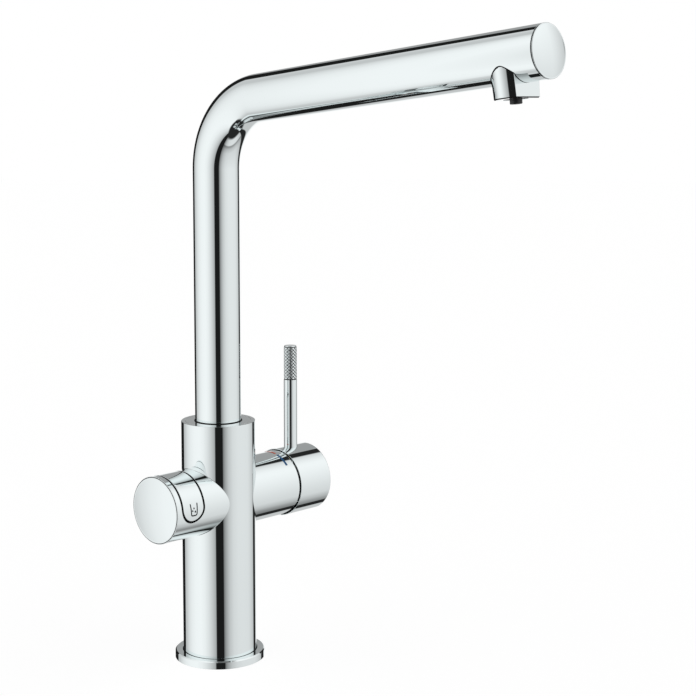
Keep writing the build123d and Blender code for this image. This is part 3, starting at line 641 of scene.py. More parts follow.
# Angles from the top of a branch, in degrees, at which its grids and the body's meet: the corner of the
# panel round it, the start of the rocker's round ends, and where the branch is whole again.
PANEL_CORNER = 46.82
ROCKER_END = 82.4
WINDOW_CLEAR = 112.0
BRANCH_MARKS = (0.0, PANEL_CORNER, ROCKER_END, WINDOW_CLEAR, 180.0 - PANEL_CORNER, 180.0)
BRANCH_STEP = 1.0
# Half the height of the body's panel of grid round a branch.
PANEL_HEIGHT = 0.028
# How the rows of that grid crowd towards the branch.
PANEL_CROWDING = 1.2
# How far the skins reach down their holes and walls, out of sight.
MOUTH_DEPTH = 0.002
WALL_DEPTH = 0.003


def branch_outward(angles):
    """Directions away from a branch's axis; angle 0 is up and a quarter turn is -Y."""
    return -np.sin(angles)[..., None] * Y_AXIS + np.cos(angles)[..., None] * Z_AXIS


def branch_points(height, along, radius, angles):
    """Points on a branch at distances along X, radii and angles."""
    along, radius, angles = np.broadcast_arrays(along, radius, angles)
    return along[..., None] * X_AXIS + height * Z_AXIS + radius[..., None] * branch_outward(angles)


def upright_points(radius, turns, heights, side=1):
    """Points and normals on an upright cylinder; the turns start at +X, or at -X for side -1."""
    turns, heights = np.broadcast_arrays(turns, heights)
    outward = np.stack((side * np.cos(turns), np.sin(turns), np.zeros_like(turns)), -1)
    return radius * outward + heights[..., None] * Z_AXIS, outward


def branch_angles():
    """Angles round a branch, with the marks that the window and the body's grids share."""
    half = np.radians(steps_between(BRANCH_MARKS, BRANCH_STEP))
    return np.concatenate((-half[::-1][:-1], half))


def weld_rim(body, radius, side, angles):
    """The rounded join between a branch and the body: its rows of points with their normals."""
    reach = radius + body.weld
    y = -reach * np.sin(angles)
    z = body.branch_height + reach * np.cos(angles)
    x = side * np.sqrt((body.radius + body.weld) ** 2 - y**2)
    centre = np.stack((x, y, z), -1)
    on_branch = centre - body.weld * branch_outward(angles)
    on_pole = centre.copy()
    on_pole[:, :2] *= body.radius / (body.radius + body.weld)
    first, last = unit(on_branch - centre), unit(on_pole - centre)
    swing = np.arccos(np.clip((first * last).sum(-1), -1, 1))[:, None]
    t = np.linspace(0, 1, 9)[:, None, None]
    arms = (np.sin((1 - t) * swing) * first + np.sin(t * swing) * last) / np.sin(swing)
    return centre + body.weld * arms, -arms


def saddle_outline(selector, height, half_width, radius):
    """Closed outline of the rocker or its window on a radius: points and directions away from its middle."""
    end, place = selector.rocker_end, -selector.rocker_place
    side_angles = steps_between((-end, end), radians(BRANCH_STEP * 1.2))
    turns = np.linspace(0, pi, 37)
    swing = np.arcsin(np.minimum(half_width * np.sin(turns) / radius, 1))
    points, away = [], []
    for sign in (1, -1):
        straight = side_angles * sign
        points.append(branch_points(height, place + sign * half_width, radius, straight))
        away.append(spread(sign * X_AXIS, len(straight)))
        along = place + sign * half_width * np.cos(turns)
        points.append(branch_points(height, along, radius, sign * (end + swing)))
        tangent = -cos(end) * Y_AXIS - sin(sign * end) * Z_AXIS
        away.append(sign * (np.cos(turns)[:, None] * X_AXIS + np.sin(turns)[:, None] * tangent))
    points.append(points[0][:1])
    away.append(away[0][:1])
    return np.concatenate(points), np.concatenate(away)


def saddle_end(selector, half_width, radius, along):
    """Angle from the top at which the outline lies, at distances along from its middle."""
    depth = np.sqrt(np.maximum(half_width**2 - along**2, 0))
    return selector.rocker_end + np.arcsin(np.minimum(depth / radius, 1))


def saddle_wall(skin, selector, height, half_width, edge, depth, side):
    """Rounded edge and wall of the rocker, side 1, or of its window, side -1, down to a radius."""
    radius = selector.radius
    lip, _ = saddle_outline(selector, height, half_width - side * edge, radius)
    sharp, _ = saddle_outline(selector, height, half_width, radius)
    wall, away = saddle_outline(selector, height, half_width, radius - edge)
    foot, _ = saddle_outline(selector, height, half_width, depth)
    outward = unit((lip - height * Z_AXIS) * (0.0, 1.0, 1.0))
    skin.rounding(lip, outward, sharp, wall, side * away)
    # The walls of the rocker and its window are painted dark as shade.
    skin.strip(wall, foot, side * away, 1)


def add_selector_branch(skin, body, selector, angles):
    """Left branch with the window for the rocker."""
    height, radius, place = body.branch_height, selector.radius, -selector.rocker_place

    def ring(along, radius=radius):
        return branch_points(height, along, radius, angles)

    rows, normals = weld_rim(body, radius, -1, angles)
    skin.grid(rows, normals)
    opening = selector.rocker_half_width + selector.rocker_gap
    skin_opening = opening + selector.window_edge
    outward = branch_outward(angles)
    skin.strip(rows[0], ring(place + skin_opening), outward)
    rim = ring(-selector.seam + body.edge)
    skin.strip(ring(place - skin_opening), rim, outward)
    seam = ring(-selector.seam, radius - body.edge)
    skin.rounding(rim, outward, ring(-selector.seam), seam, -X_AXIS)
    # The wall at the end cap's seam is painted dark as shade.
    skin.strip(seam, ring(-selector.seam, selector.bore), -X_AXIS, 1)

    along = skin_opening * np.cos(np.linspace(0, pi, 57))
    start = saddle_end(selector, skin_opening, radius, along)[:, None]
    clear = radians(WINDOW_CLEAR)
    near = (steps_between((ROCKER_END, WINDOW_CLEAR), BRANCH_STEP) - ROCKER_END) / (WINDOW_CLEAR - ROCKER_END)
    below = angles[angles > clear - TINY]
    side = start + near * (clear - start)
    under = np.concatenate((below, FULL_TURN - below[::-1][1:]))
    turns = np.concatenate((side[:, :-1], spread(under, len(along)), FULL_TURN - side[:, ::-1][:, 1:]), 1)
    points = branch_points(height, (along + place)[:, None], radius, turns)
    skin.grid(points, branch_outward(turns))
    saddle_wall(skin, selector, height, opening, selector.window_edge, selector.bore, -1)


def lever_branch_end(body, lever, radius, angles):
    """Where the right branch ends, with the outward normals of its end face."""
    drop = np.minimum(radius * np.cos(angles) + lever.relief_drop, 0)
    middle = lever.branch_reach - lever.relief_radius
    along = middle + np.sqrt(np.maximum(lever.relief_radius**2 - drop**2, 0))
    normals = (along - middle)[..., None] * X_AXIS + drop[..., None] * Z_AXIS
    return branch_points(body.branch_height, along, radius, angles), unit(normals)


def add_lever_branch(skin, body, lever, angles):
    """Right branch with its rounded lower end."""
    radius = lever.branch_radius
    rows, normals = weld_rim(body, radius, 1, angles)
    skin.grid(rows, normals)
    outward = branch_outward(angles)
    sharp, _ = lever_branch_end(body, lever, radius, angles)
    lip = sharp - body.edge * X_AXIS
    skin.strip(rows[0], lip, outward)
    face, face_normals = lever_branch_end(body, lever, radius - body.edge, angles)
    skin.rounding(lip, outward, sharp, face, face_normals)
    radii = np.linspace(radius - body.edge, lever.branch_bore, 7)[:, None]
    skin.grid(*lever_branch_end(body, lever, radii, angles[None]))
    mouth, _ = lever_branch_end(body, lever, lever.branch_bore, angles)
    # The mouth of the branch's bore is painted dark as shade.
    skin.strip(mouth, mouth - WALL_DEPTH * X_AXIS, -outward, 1)


def add_body_pole(skin, body, selector, lever, angles):
    """Upright body round both branches, the locking screw's hole and the top edge."""
    radius = body.radius

    def band(turns, *heights):
        skin.grid(*upright_points(radius, turns, np.array(heights)[:, None]))

    half_width = PANEL_HEIGHT * tan(radians(PANEL_CORNER))
    panel = rectangle_edge(angles, half_width, PANEL_HEIGHT)
    t = np.linspace(0, 1, 25)[:, None] ** PANEL_CROWDING
    for side, branch_radius in ((-1, selector.radius), (1, lever.branch_radius)):
        x, y, z = weld_rim(body, branch_radius, side, angles)[0][-1].T
        across = radius * np.arctan2(y, side * x)
        across = across + t * (-panel[:, 0] - across)
        height = z + t * (body.branch_height + panel[:, 1] - z)
        skin.grid(*upright_points(radius, across / radius, height, side))

    on_side = np.abs(np.abs(panel[:, 0]) - half_width) < 1e-7
    on_top = np.abs(panel[:, 1] - PANEL_HEIGHT) < 1e-7
    branch_turns = np.unique(np.round(panel[on_top, 0], 9)) / radius
    gap = half_width / radius
    strip = steps_between((gap, pi - gap), radians(1.0))
    for front in (-1, 1):
        band(front * strip, *np.unique(np.round(body.branch_height + panel[on_side, 1], 9)))
    low, high = body.branch_height - PANEL_HEIGHT, body.branch_height + PANEL_HEIGHT
    rim_height = body.top - body.edge
    turns = np.concatenate((branch_turns, strip[1:], pi + branch_turns[1:], pi + strip[1:]))
    band(turns, body.seat, low)
    front_turns = (strip[-1:], pi + branch_turns[1:], pi + strip[1:], FULL_TURN + branch_turns[1:])
    band(np.concatenate(front_turns), high, rim_height)
    screw, reach = body.lock_screw_height, radius * (pi / 2 - gap)
    band(strip, high, screw - reach)
    band(strip, screw + reach, rim_height)

    ring = whole_turn(48)
    across, rise = round_hole(ring, body.lock_screw_radius, reach, t)
    points, outward = upright_points(radius, pi / 2 + across / radius, screw + rise)
    skin.grid(points, outward)
    skin.strip(points[0], points[0] - MOUTH_DEPTH * Y_AXIS, -radial(Y_AXIS, Z_AXIS, -ring))

    corners = (
        (rim_height, radius),
        (body.top, radius, body.edge),
        (body.top, body.bore, body.edge / 2),
        (body.top - MOUTH_DEPTH, body.bore),
    )
    skin.lathe(UPRIGHT, turns, corners)


class TAP_OT_body(bpy.types.Operator):
    """Builds the upright body with its two branches, the base flange, the collar ring and the wiper lip"""

    bl_idname = "tap.body"
    bl_label = "Body"

    def execute(self, context):
        body = context.scene.tap_body
        selector = context.scene.tap_selector
        lever = context.scene.tap_lever
        angles = branch_angles()
        shell = Skin()
        add_selector_branch(shell, body, selector, angles)
        add_lever_branch(shell, body, lever, angles)
        add_body_pole(shell, body, selector, lever, angles)
        place_piece(shell, "body_shell", "body", "chrome", "mixer_body")

        flange, turns = Skin(), whole_turn(360)
        chamfer, height, inner = body.flange_chamfer, body.flange_height, body.radius + body.groove
        sill = 2 * CRISP_EDGE
        corners = (
            (0.0, body.flange_bore),
            (0.0, body.flange_radius, CRISP_EDGE),
            (height - chamfer, body.flange_radius, TURNED_EDGE),
            (height, body.flange_radius - chamfer, TURNED_EDGE),
            (height, inner, CRISP_EDGE),
            (height - sill, inner),
        )
        flange.lathe(UPRIGHT, turns, corners, 4)
        groove = ((height - sill, inner), (body.seat, inner), (body.seat, body.radius - sill))
        # The groove between the body's foot and the flange is painted dark as shade.
        flange.lathe(UPRIGHT, turns, groove, 4, 1)
        place_piece(flange, "base_flange_ring", "body", "chrome", "base_flange")

        collar = Skin()
        bottom = body.top - body.collar_depth
        corners = (
            (bottom, body.collar_bore),
            (body.top, body.collar_bore, 3 * CRISP_EDGE),
            (body.top, body.collar_radius, CRISP_EDGE),
            (bottom, body.collar_radius),
        )
        collar.lathe(UPRIGHT, whole_turn(240), corners, 4)
        place_piece(collar, "collar_cover", "body", "chrome", "collar_ring")

        # The wiper lip stands for a rubber seal, but it has the painted-shade gap finish, which darkens the
        # groove round the spout.
        wiper = Skin()
        bottom, top = body.top - body.wiper_depth, body.top + body.wiper_rise
        corners = (
            (bottom, body.wiper_bore),
            (top, body.wiper_bore, CRISP_EDGE / 2),
            (top, body.collar_bore, CRISP_EDGE / 2),
            (bottom, body.collar_bore),
        )
        wiper.lathe(UPRIGHT, whole_turn(180), corners, 4)
        place_piece(wiper, "spout_wiper", "body", "seal_rubber", finish="gap")
        return {"FINISHED"}


class TAP_OT_marks(bpy.types.Operator):
    """Lays the hot and cold enamel marks on the lever branch"""

    bl_idname = "tap.marks"
    bl_label = "Hot and cold marks"

    def execute(self, context):
        body, lever = context.scene.tap_body, context.scene.tap_lever
        radius, half_width = lever.branch_radius + lever.mark_rise, lever.mark_width / 2
        marks = (("hot", lever.hot_from, lever.hot_to), ("cold", lever.cold_from, lever.cold_to))
        for name, first, last in marks:
            skin = Skin()
            angles = steps_between((first, last), radians(1.5))
            edges = (
                branch_points(body.branch_height, lever.mark_place + side * half_width, radius, angles)
                for side in (-1, 1)
            )
            skin.strip(*edges, branch_outward(angles))
            place_piece(skin, name + "_enamel_mark", "body", name + "_enamel", name + "_mark")
        return {"FINISHED"}


# Filter selector

# The drops in the tumbler: across from its middle, down from its rim, and their size.
DROPS = ((-0.0001, 0.003, 0.0005), (-0.0012, 0.0044, 0.0005), (0.0008, 0.0051, 0.0006))
# How far a drop's tail reaches up and where it has its full width, as shares of its size.
DROP_TAIL = 1.6
DROP_SHOULDER = 1.3


def stroke(skin, height, radius, path, width):
    """Lays a printed stroke on a branch along a path of (distance along X, way round from the top)."""
    heading = unit(np.gradient(path, axis=0))
    side = np.stack((-heading[:, 1], heading[:, 0]), -1) * width / 2
    spots = np.stack((path - side, path + side))
    angles = spots[..., 1] / radius
    skin.grid(branch_points(height, spots[..., 0], radius, angles), branch_outward(angles))


def tumbler_sign(body, selector):
    """Printed sign of a tumbler with three drops in it."""
    sign, height, radius = Skin(), body.branch_height, selector.radius + selector.sign_rise
    top, foot = selector.sign_top, selector.sign_top + selector.sign_height
    middle, rim, base = -selector.sign_place, selector.sign_rim, selector.sign_foot
    corner = selector.sign_corner
    turns = np.linspace(0, pi / 2, 9)[:, None]
    right = np.array((base - corner, foot - corner)) + corner * np.hstack((np.cos(turns), np.sin(turns)))
    flank = np.linspace((rim, top), (base, foot - corner), 9)[:-1]
    half = np.concatenate((flank, right))
    path = np.concatenate((half, half[::-1] * (-1, 1))) + (middle, 0.0)
    stroke(sign, height, radius, path, selector.sign_stroke)
    for across, down, size in DROPS:
        place = np.linspace(-DROP_TAIL, 1, 9)
        tail = np.minimum(1, (place + DROP_TAIL) / DROP_SHOULDER)
        belly = np.sqrt(np.clip(1 - place.clip(-1, 1) ** 2, 0, 1))
        widths = size * np.where(place < 0, tail, belly)
        angles = (top + down + size * place) / radius
        edges = (branch_points(height, middle + across + side * widths, radius, angles) for side in (-1, 1))
        sign.strip(*edges, branch_outward(angles))
    return sign


def saddle_face(skin, selector, height, half_width, radius, rows, columns, side):
    """Face of the rocker on a radius, seen from outside for side 1 and from inside for side -1."""
    along = half_width * np.cos(np.linspace(0, pi, rows))
    turns = saddle_end(selector, half_width, radius, along)[:, None] * np.linspace(-1, 1, columns)
    points = branch_points(height, (along - selector.rocker_place)[:, None], radius, turns)
    skin.grid(points, side * branch_outward(turns))


class TAP_OT_selector(bpy.types.Operator):
    """Builds the saddle rocker with its printed sign, and the end cap of the selector branch"""

    bl_idname = "tap.selector"
    bl_label = "Filter selector"

    def execute(self, context):
        body, selector = context.scene.tap_body, context.scene.tap_selector
        height, radius = body.branch_height, selector.radius
        half, edge, bore = selector.rocker_half_width, selector.rocker_edge, selector.rocker_bore
        saddle = Skin()
        saddle_face(saddle, selector, height, half - edge, radius, 57, 141, 1)
        saddle_wall(saddle, selector, height, half, edge, bore, 1)
        saddle_face(saddle, selector, height, half, bore, 29, 36, -1)
        place_piece(saddle, "rocker_saddle", "selector", "chrome", "selector_rocker")
        sign = tumbler_sign(body, selector)
        place_piece(sign, "tumbler_sign", "selector", "dark_plastic", finish="print")

        cap = Skin()
        seat, turns = (height * Z_AXIS, -X_AXIS, Z_AXIS), whole_turn(240)
        face, rim = selector.reach - selector.crown, radius - selector.lip
        flat = rim - 5 * CRISP_EDGE
        corners = (
            (selector.seam - 8 * CRISP_EDGE, radius - 9 * CRISP_EDGE),
            (selector.seam, radius - 6 * CRISP_EDGE),
            (selector.seam, radius - CRISP_EDGE, TURNED_EDGE),
            (face, rim, 2 * CRISP_EDGE),
            (face, flat),
        )
        cap.lathe(seat, turns, corners, 4)
        cap.crowned_face(seat, turns, selector.reach, flat, selector.crown, selector.lean)
        place_piece(cap, "selector_end_cap", "body", "chrome", "end_cap")
        return {"FINISHED"}


# Mixing lever

# Half the side of the square in the cap's grid round the screw plug, and how far the cap's inside is built.
PLUG_PANEL = 0.006
CAP_INSIDE = 0.012
# Grid columns and rows in one diamond, how steep its walls are, and the height over which knurls begin.
KNURL_GRID = 16
KNURL_STEEPNESS = 4.0
KNURL_RUN_OUT = 0.0006


def add_knurls(skin, lever, place, bottom, top):
    """Diamond knurls as two crossing screw threads of opposite hand; the grooves are in slot 1, painted dark
    as shade.
    """
    turns = whole_turn(lever.knurl_columns * KNURL_GRID)
    heights = np.linspace(bottom, top, lever.knurl_rows * KNURL_GRID + 1)[:, None]
    wind = turns * lever.knurl_columns / FULL_TURN
    climb = (heights - bottom) / (top - bottom) * lever.knurl_rows
    groove = np.minimum(*(1 - np.abs((wind + s * climb) % 1 * 2 - 1) for s in (1, -1)))
    ends = np.clip(np.minimum(heights - bottom, top - heights) / KNURL_RUN_OUT, 0, 1)
    relief = np.clip(groove * KNURL_STEEPNESS, 0, 1) * ends
    radii = lever.knurl_radius - lever.knurl_depth * (1 - relief)
    points = place + radii[..., None] * radial(Z_AXIS, X_AXIS, turns) + heights[..., None] * Z_AXIS
    d_turn = np.gradient(points, axis=1)
    d_turn[:, 0] = d_turn[:, -1] = points[:, 1] - points[:, -2]
    # The lower part of each groove, up to the knurl shade, is painted dark as shade.
    in_groove = (relief[:-1, :-1] < lever.knurl_shade).reshape(-1)
    skin.grid(points, np.cross(d_turn, np.gradient(points, axis=0)), in_groove.astype(int))


class TAP_OT_lever(bpy.types.Operator):
    """Builds the lever cap and the handle rod with its knurled grip"""

    bl_idname = "tap.lever"
    bl_label = "Mixing lever"

    def execute(self, context):
        body, lever = context.scene.tap_body, context.scene.tap_lever
        seat = (body.branch_height * Z_AXIS, X_AXIS, Z_AXIS)
        radius, start, place = lever.cap_radius, lever.cap_start, lever.handle_place
        face, flat = lever.cap_reach - lever.cap_crown, radius - 2 * lever.cap_edge
        across = PLUG_PANEL / radius
        below = steps_between((pi - across, pi + across), radians(1.5))
        beside = steps_between((pi + across, 3 * pi - across), radians(1.0))
        turns = np.concatenate((below, beside[1:]))
        cap = Skin()
        corners = (
            (start + CAP_INSIDE, radius - lever.cap_wall),
            (start + lever.rim_bevel, radius - lever.cap_wall),
            (start, radius - lever.rim_wall, CRISP_EDGE),
            (start, radius, TURNED_EDGE),
            (place - PLUG_PANEL, radius),
        )
        cap.lathe(seat, turns, corners, 4)
        cap.lathe(seat, beside, ((place - PLUG_PANEL, radius), (place + PLUG_PANEL, radius)))
        corners = ((place + PLUG_PANEL, radius), (face, radius, lever.cap_edge), (face, flat))
        cap.lathe(seat, turns, corners, 8)
        cap.crowned_face(seat, turns, lever.cap_reach, flat, lever.cap_crown, lever.cap_lean)
        t = np.linspace(0, 1, 7)[:, None]
        side, along = round_hole(whole_turn(48), lever.plug_radius, PLUG_PANEL, t)
        angles = pi + side / radius
        points = branch_points(body.branch_height, place + along, radius, angles)
        cap.grid(points, branch_outward(angles))
        place_piece(cap, "lever_cap_shell", "lever", "chrome", "lever_cap")

        rod, turns = Skin(), whole_turn(96)
        seat = (place * X_AXIS, Z_AXIS, X_AXIS)
        knurl_bottom, root = lever.handle_top - lever.knurl_length, lever.knurl_radius - lever.knurl_depth
        knurl_top = lever.handle_top - 6 * CRISP_EDGE
        corners = (
            (body.branch_height + lever.handle_foot, lever.handle_radius),
            (knurl_bottom, lever.handle_radius, CRISP_EDGE),
            (knurl_bottom, root),
        )
        rod.lathe(seat, turns, corners, 4)
        add_knurls(rod, lever, place * X_AXIS, knurl_bottom, knurl_top)
        corners = (
            (knurl_top, root),
            (knurl_top + CRISP_EDGE, lever.knurl_radius - 1.5 * CRISP_EDGE, CRISP_EDGE),
            (lever.handle_top, lever.knurl_radius - 5 * CRISP_EDGE, 3 * CRISP_EDGE),
            (lever.handle_top, 0.0),
        )
        rod.lathe(seat, turns, corners, 4)
        place_piece(rod, "handle_grip", "lever", "chrome", "handle_rod")
        return {"FINISHED"}


# Spout

# How far the tube's inside is built from its lower end.
FOOT_INSIDE = 0.004


def spout_directions(spout):
    """Unit vectors along the spout and down from it."""
    along = np.array((0.0, -cos(spout.rise), sin(spout.rise)))
    down = np.array((0.0, -sin(spout.rise), -cos(spout.rise)))
    return along, down


def spout_line(spout, end):
    """Centre line of the tube: points and directions from its foot to its end."""
    along, _ = spout_directions(spout)
    corner = spout.corner * Z_AXIS
    swing = pi / 2 - spout.rise
    centre = corner - spout.bend * tan(swing / 2) * Z_AXIS - spout.bend * Y_AXIS
    outward = radial(X_AXIS, Y_AXIS, np.linspace(0, swing, 57))
    points = np.vstack((spout.foot * Z_AXIS, centre + spout.bend * outward, corner + along * end))
    return points, np.vstack((Z_AXIS, np.cross(X_AXIS, outward), along))


class TAP_OT_spout(bpy.types.Operator):
    """Builds the bent spout tube and the lid at its end"""

    bl_idname = "tap.spout"
    bl_label = "Spout"

    def execute(self, context):
        spout = context.scene.tap_spout
        along, _ = spout_directions(spout)
        seat, turns = (spout.corner * Z_AXIS, along, X_AXIS), whole_turn(360)
        radius, bore, foot, edge = spout.radius, spout.bore, spout.foot, CRISP_EDGE
        end, recess = spout.reach - spout.lid - spout.seam, spout.radius - 2 * edge
        tube = Skin()
        line, headings = spout_line(spout, end - edge)
        across = np.cross(headings, X_AXIS)[:, None]
        outward = np.cos(turns)[:, None] * X_AXIS + np.sin(turns)[:, None] * across
        tube.grid(line[:, None] + radius * outward, outward)
        tube.lathe(seat, turns, ((end - edge, radius), (end, radius, edge), (end, recess)), 4)
        # The wall inside the tube's end is painted dark as shade.
        tube.lathe(seat, turns, ((end, recess), (end, bore), (end - WALL_DEPTH, bore)), 4, 1)
        tube.lathe(UPRIGHT, turns, ((foot + FOOT_INSIDE, bore), (foot, bore), (foot, radius)))
        place_piece(tube, "spout_tube_skin", "spout", "chrome", "spout_tube")

        lid = Skin()
        face, back, flat = spout.reach - spout.lid_crown, spout.reach - spout.lid, radius - 2 * spout.lid_edge
        spigot = bore - 2 * edge
        # The lid's spigot inside the tube's mouth is painted dark as shade.
        lid.lathe(seat, turns, ((end - MOUTH_DEPTH, spigot), (back, spigot), (back, recess)), 5, 1)
        lid.lathe(seat, turns, (
            (back, recess), (back, radius, edge), (face, radius, spout.lid_edge), (face, flat)
        ))
        lid.crowned_face(seat, turns, spout.reach, flat, spout.lid_crown, spout.lid_lean)
        place_piece(lid, "spout_lid_disc", "spout", "chrome", "spout_end_lid")
        return {"FINISHED"}


# How far the dark seam, a strip of painted shade, stands proud of the tube, and the rounding and depth of the
# outlet's recess.
SEAM_RISE = 0.00003
RECESS_EDGE = 0.0002
RECESS_DEPTH = 0.004


def outlet_outline(spout, radius):
    """Outline of the outlet block, round behind and flat in front: places and normals from its rear."""
    front, rounding, shift = spout.outlet_front, spout.outlet_corner, spout.outlet_shift
    depth = front - rounding - shift
    centre = np.array((sqrt((radius - rounding) ** 2 - depth**2), front - rounding))
    meet = atan2(depth, centre[0])
    sweeps = (np.linspace(-pi / 2, meet, 61), np.linspace(meet, pi / 2, 9))
    arc, swing = (np.stack((np.cos(a), np.sin(a)), -1) for a in sweeps)
    face = np.linspace(1, 0, 9)[:, None] * (centre[0], 0.0) + (0.0, front)
    places = np.concatenate((radius * arc + (0.0, shift), centre + rounding * swing, face))
    normals = np.concatenate((arc, swing, spread((0.0, 1.0), 9)))
    return tuple(np.concatenate((half, half[::-1] * (-1.0, 1.0))) for half in (places, normals))


class TAP_OT_outlet(bpy.types.Operator):
    """Builds the outlet block under the spout, round the aerator and the filtered water nozzle"""

    bl_idname = "tap.outlet"
    bl_label = "Outlet block"

    def execute(self, context):
        spout = context.scene.tap_spout
        along, down = spout_directions(spout)
        origin = spout.corner * Z_AXIS + along * spout.outlet_place
        upper, lower, edge = spout.outlet_top, spout.outlet_bottom, spout.outlet_edge
        top, _ = outlet_outline(spout, spout.outlet_top_radius)
        bottom, normals = outlet_outline(spout, spout.outlet_bottom_radius)
        taper = (top - bottom) / (lower - upper)

        def placed(flat, drop):
            return origin + flat @ (X_AXIS, along) + np.multiply.outer(drop, down)

        block = Skin()
        sides = unit(normals @ (X_AXIS, along) + (taper * normals).sum(-1)[:, None] * down)
        near, inset = bottom + taper * edge, bottom - normals * edge
        waist, floor = placed(near, lower - edge), placed(inset, lower)
        block.strip(placed(top, upper), waist, sides)
        # The chamfer round the block's lower edge is painted dark as shade.
        block.strip(waist, floor, sides + down, 1)
        circle = unit(bottom)
        rim, bore = placed(circle * (spout.outlet_bore + RECESS_EDGE), lower), circle * spout.outlet_bore
        inward = -circle @ (X_AXIS, along)
        sill = placed(bore, lower - RECESS_EDGE)
        block.strip(floor, rim, down)
        block.rounding(rim, down, placed(bore, lower), sill, inward)
        # The wall of the aerator's recess is painted dark as shade.
        block.strip(sill, placed(bore, lower - RECESS_DEPTH), inward, 1)

        joint = top
        for _ in range(5):
            drop = np.sqrt(spout.radius**2 - joint[:, 0] ** 2)
            joint = top - taper * (drop - upper)[:, None]
        rows, round_tube = [], []
        for side in (-1, 1):
            flat = joint + side * normals * spout.outlet_seam
            drop = np.sqrt(spout.radius**2 - flat[:, 0] ** 2)
            outward = unit(flat[:, :1] * X_AXIS + drop[:, None] * down)
            rows.append(placed(flat, drop) + SEAM_RISE * outward)
            round_tube.append(outward)
        # The seam where the block meets the tube is a strip of painted shade.
        block.grid(np.array(rows), round_tube, 1)
        place_piece(block, "outlet_housing", "spout", "chrome", "outlet_block")
        return {"FINISHED"}


# Studio

# Upright cards round the tap, each a pair of fades, in compass angles from the front of the tap towards the
# lever. A fade has the angle of the card's edge and the level there, the angle where the card is brightest
# and the level there, and how soon it gets there. Between the cards are dark gaps, at the level of a gap.
CARDS = (
    ((-168.0, 0.6, -102.0, 1.0, 2.5), (-52.9, 0.41, -102.0, 1.0, 1.8)),
    ((-28.1, 0.24, 38.0, 1.02, 3.6), (88.0, 0.72, 60.0, 1.0, 1.2)),
    ((112.0, 0.9, 124.0, 1.0, 1.0), (180.0, 0.6, 144.0, 1.0, 1.0)),
)
GAPS = ((-51.9, -29.6, 0.012), (91.0, 109.0, 0.02))
# The card on the lever's side from the floor below it to its head, by the sine of the elevation.
RISE = ((-0.78, 0.78), (-0.75, 0.28), (-0.68, 0.55), (-0.56, 0.72), (0.54, 1.0))
# Levels of the lit panels and dark places that aren't cards.
REAR_PANEL = 0.36
REAR_FLOOR = 0.6
REAR_GAP = 0.012
ZENITH = 0.15
NADIR = 0.02
# The compass angles over which the rear card ends and the gap behind the tap begins.
REAR_EDGE = (144.0, 147.0)
# Places of a fade's stops between the card's edge, where it changes fastest, and its brightest part.
FADE_STOPS = (np.arange(6) / 5) ** 1.5
# How much less than full the floor's white is, as a share of the shadow that the camera sees.
WHITE_LOSS = 0.55


class TAP_OT_stage(bpy.types.Operator):
    """Sets up the floor, the studio light and the camera"""

    bl_idname = "tap.stage"
    bl_label = "Studio"

    def execute(self, context):
        studio = context.scene.tap_studio
        make_floor(studio)
        make_near_card(studio)
        make_light()
        make_camera(studio)
        context.scene.view_settings.view_transform = "Standard"
        return {"FINISHED"}


def stage_sheet(name, corners, material):
    """One flat face of the studio."""
    mesh = bpy.data.meshes.new(name)
    mesh.from_pydata(corners, [], [tuple(range(len(corners)))])
    mesh.materials.append(material)
    sheet = add_object(name, mesh)
    return sheet


def make_floor(studio):
    """White to the camera apart from the tap's soft shadow; the chrome reflects only the studio."""
    material, graph = new_material("floor_paper")
    tone = graph.blend(graph.noise(3.0), shade(studio.floor_colour, 0.99), studio.floor_colour)
    plain = graph.node("ShaderNodeBsdfDiffuse", {}, {"Color": tone})
    shadow = graph.node("ShaderNodeBsdfDiffuse", {}, {"Color": (*grey(studio.shadow), 1.0)})
    white = graph.node("ShaderNodeEmission", {}, {"Strength": 1 - studio.shadow * WHITE_LOSS})
    shown = graph.node("ShaderNodeAddShader", {}, {0: white, 1: shadow})
    seen = graph.node("ShaderNodeLightPath")
    graph.surface(graph.node("ShaderNodeMixShader", {}, {0: seen, 1: plain, 2: shown}))
    rim = studio.floor_radius * radial(Z_AXIS, X_AXIS, whole_turn(64)[:-1])
    stage_sheet("studio_floor", rim.tolist(), material).visible_glossy = False


def card_stops():
    """Stops of the cards and gaps by compass angle, as shares of a turn from the rear."""
    stops = [(angle, level) for *angles, level in GAPS for angle in angles]
    for edge, level, middle, brightest, curve in (fade for card in CARDS for fade in card):
        for t in FADE_STOPS if curve > 1 else (0.0, 1.0):
            way = 1 - (1 - t) ** curve
            stops.append((edge + (middle - edge) * t, level + (brightest - level) * way))
    return [((angle + 180) / 360, level) for angle, level in sorted(set(stops))]


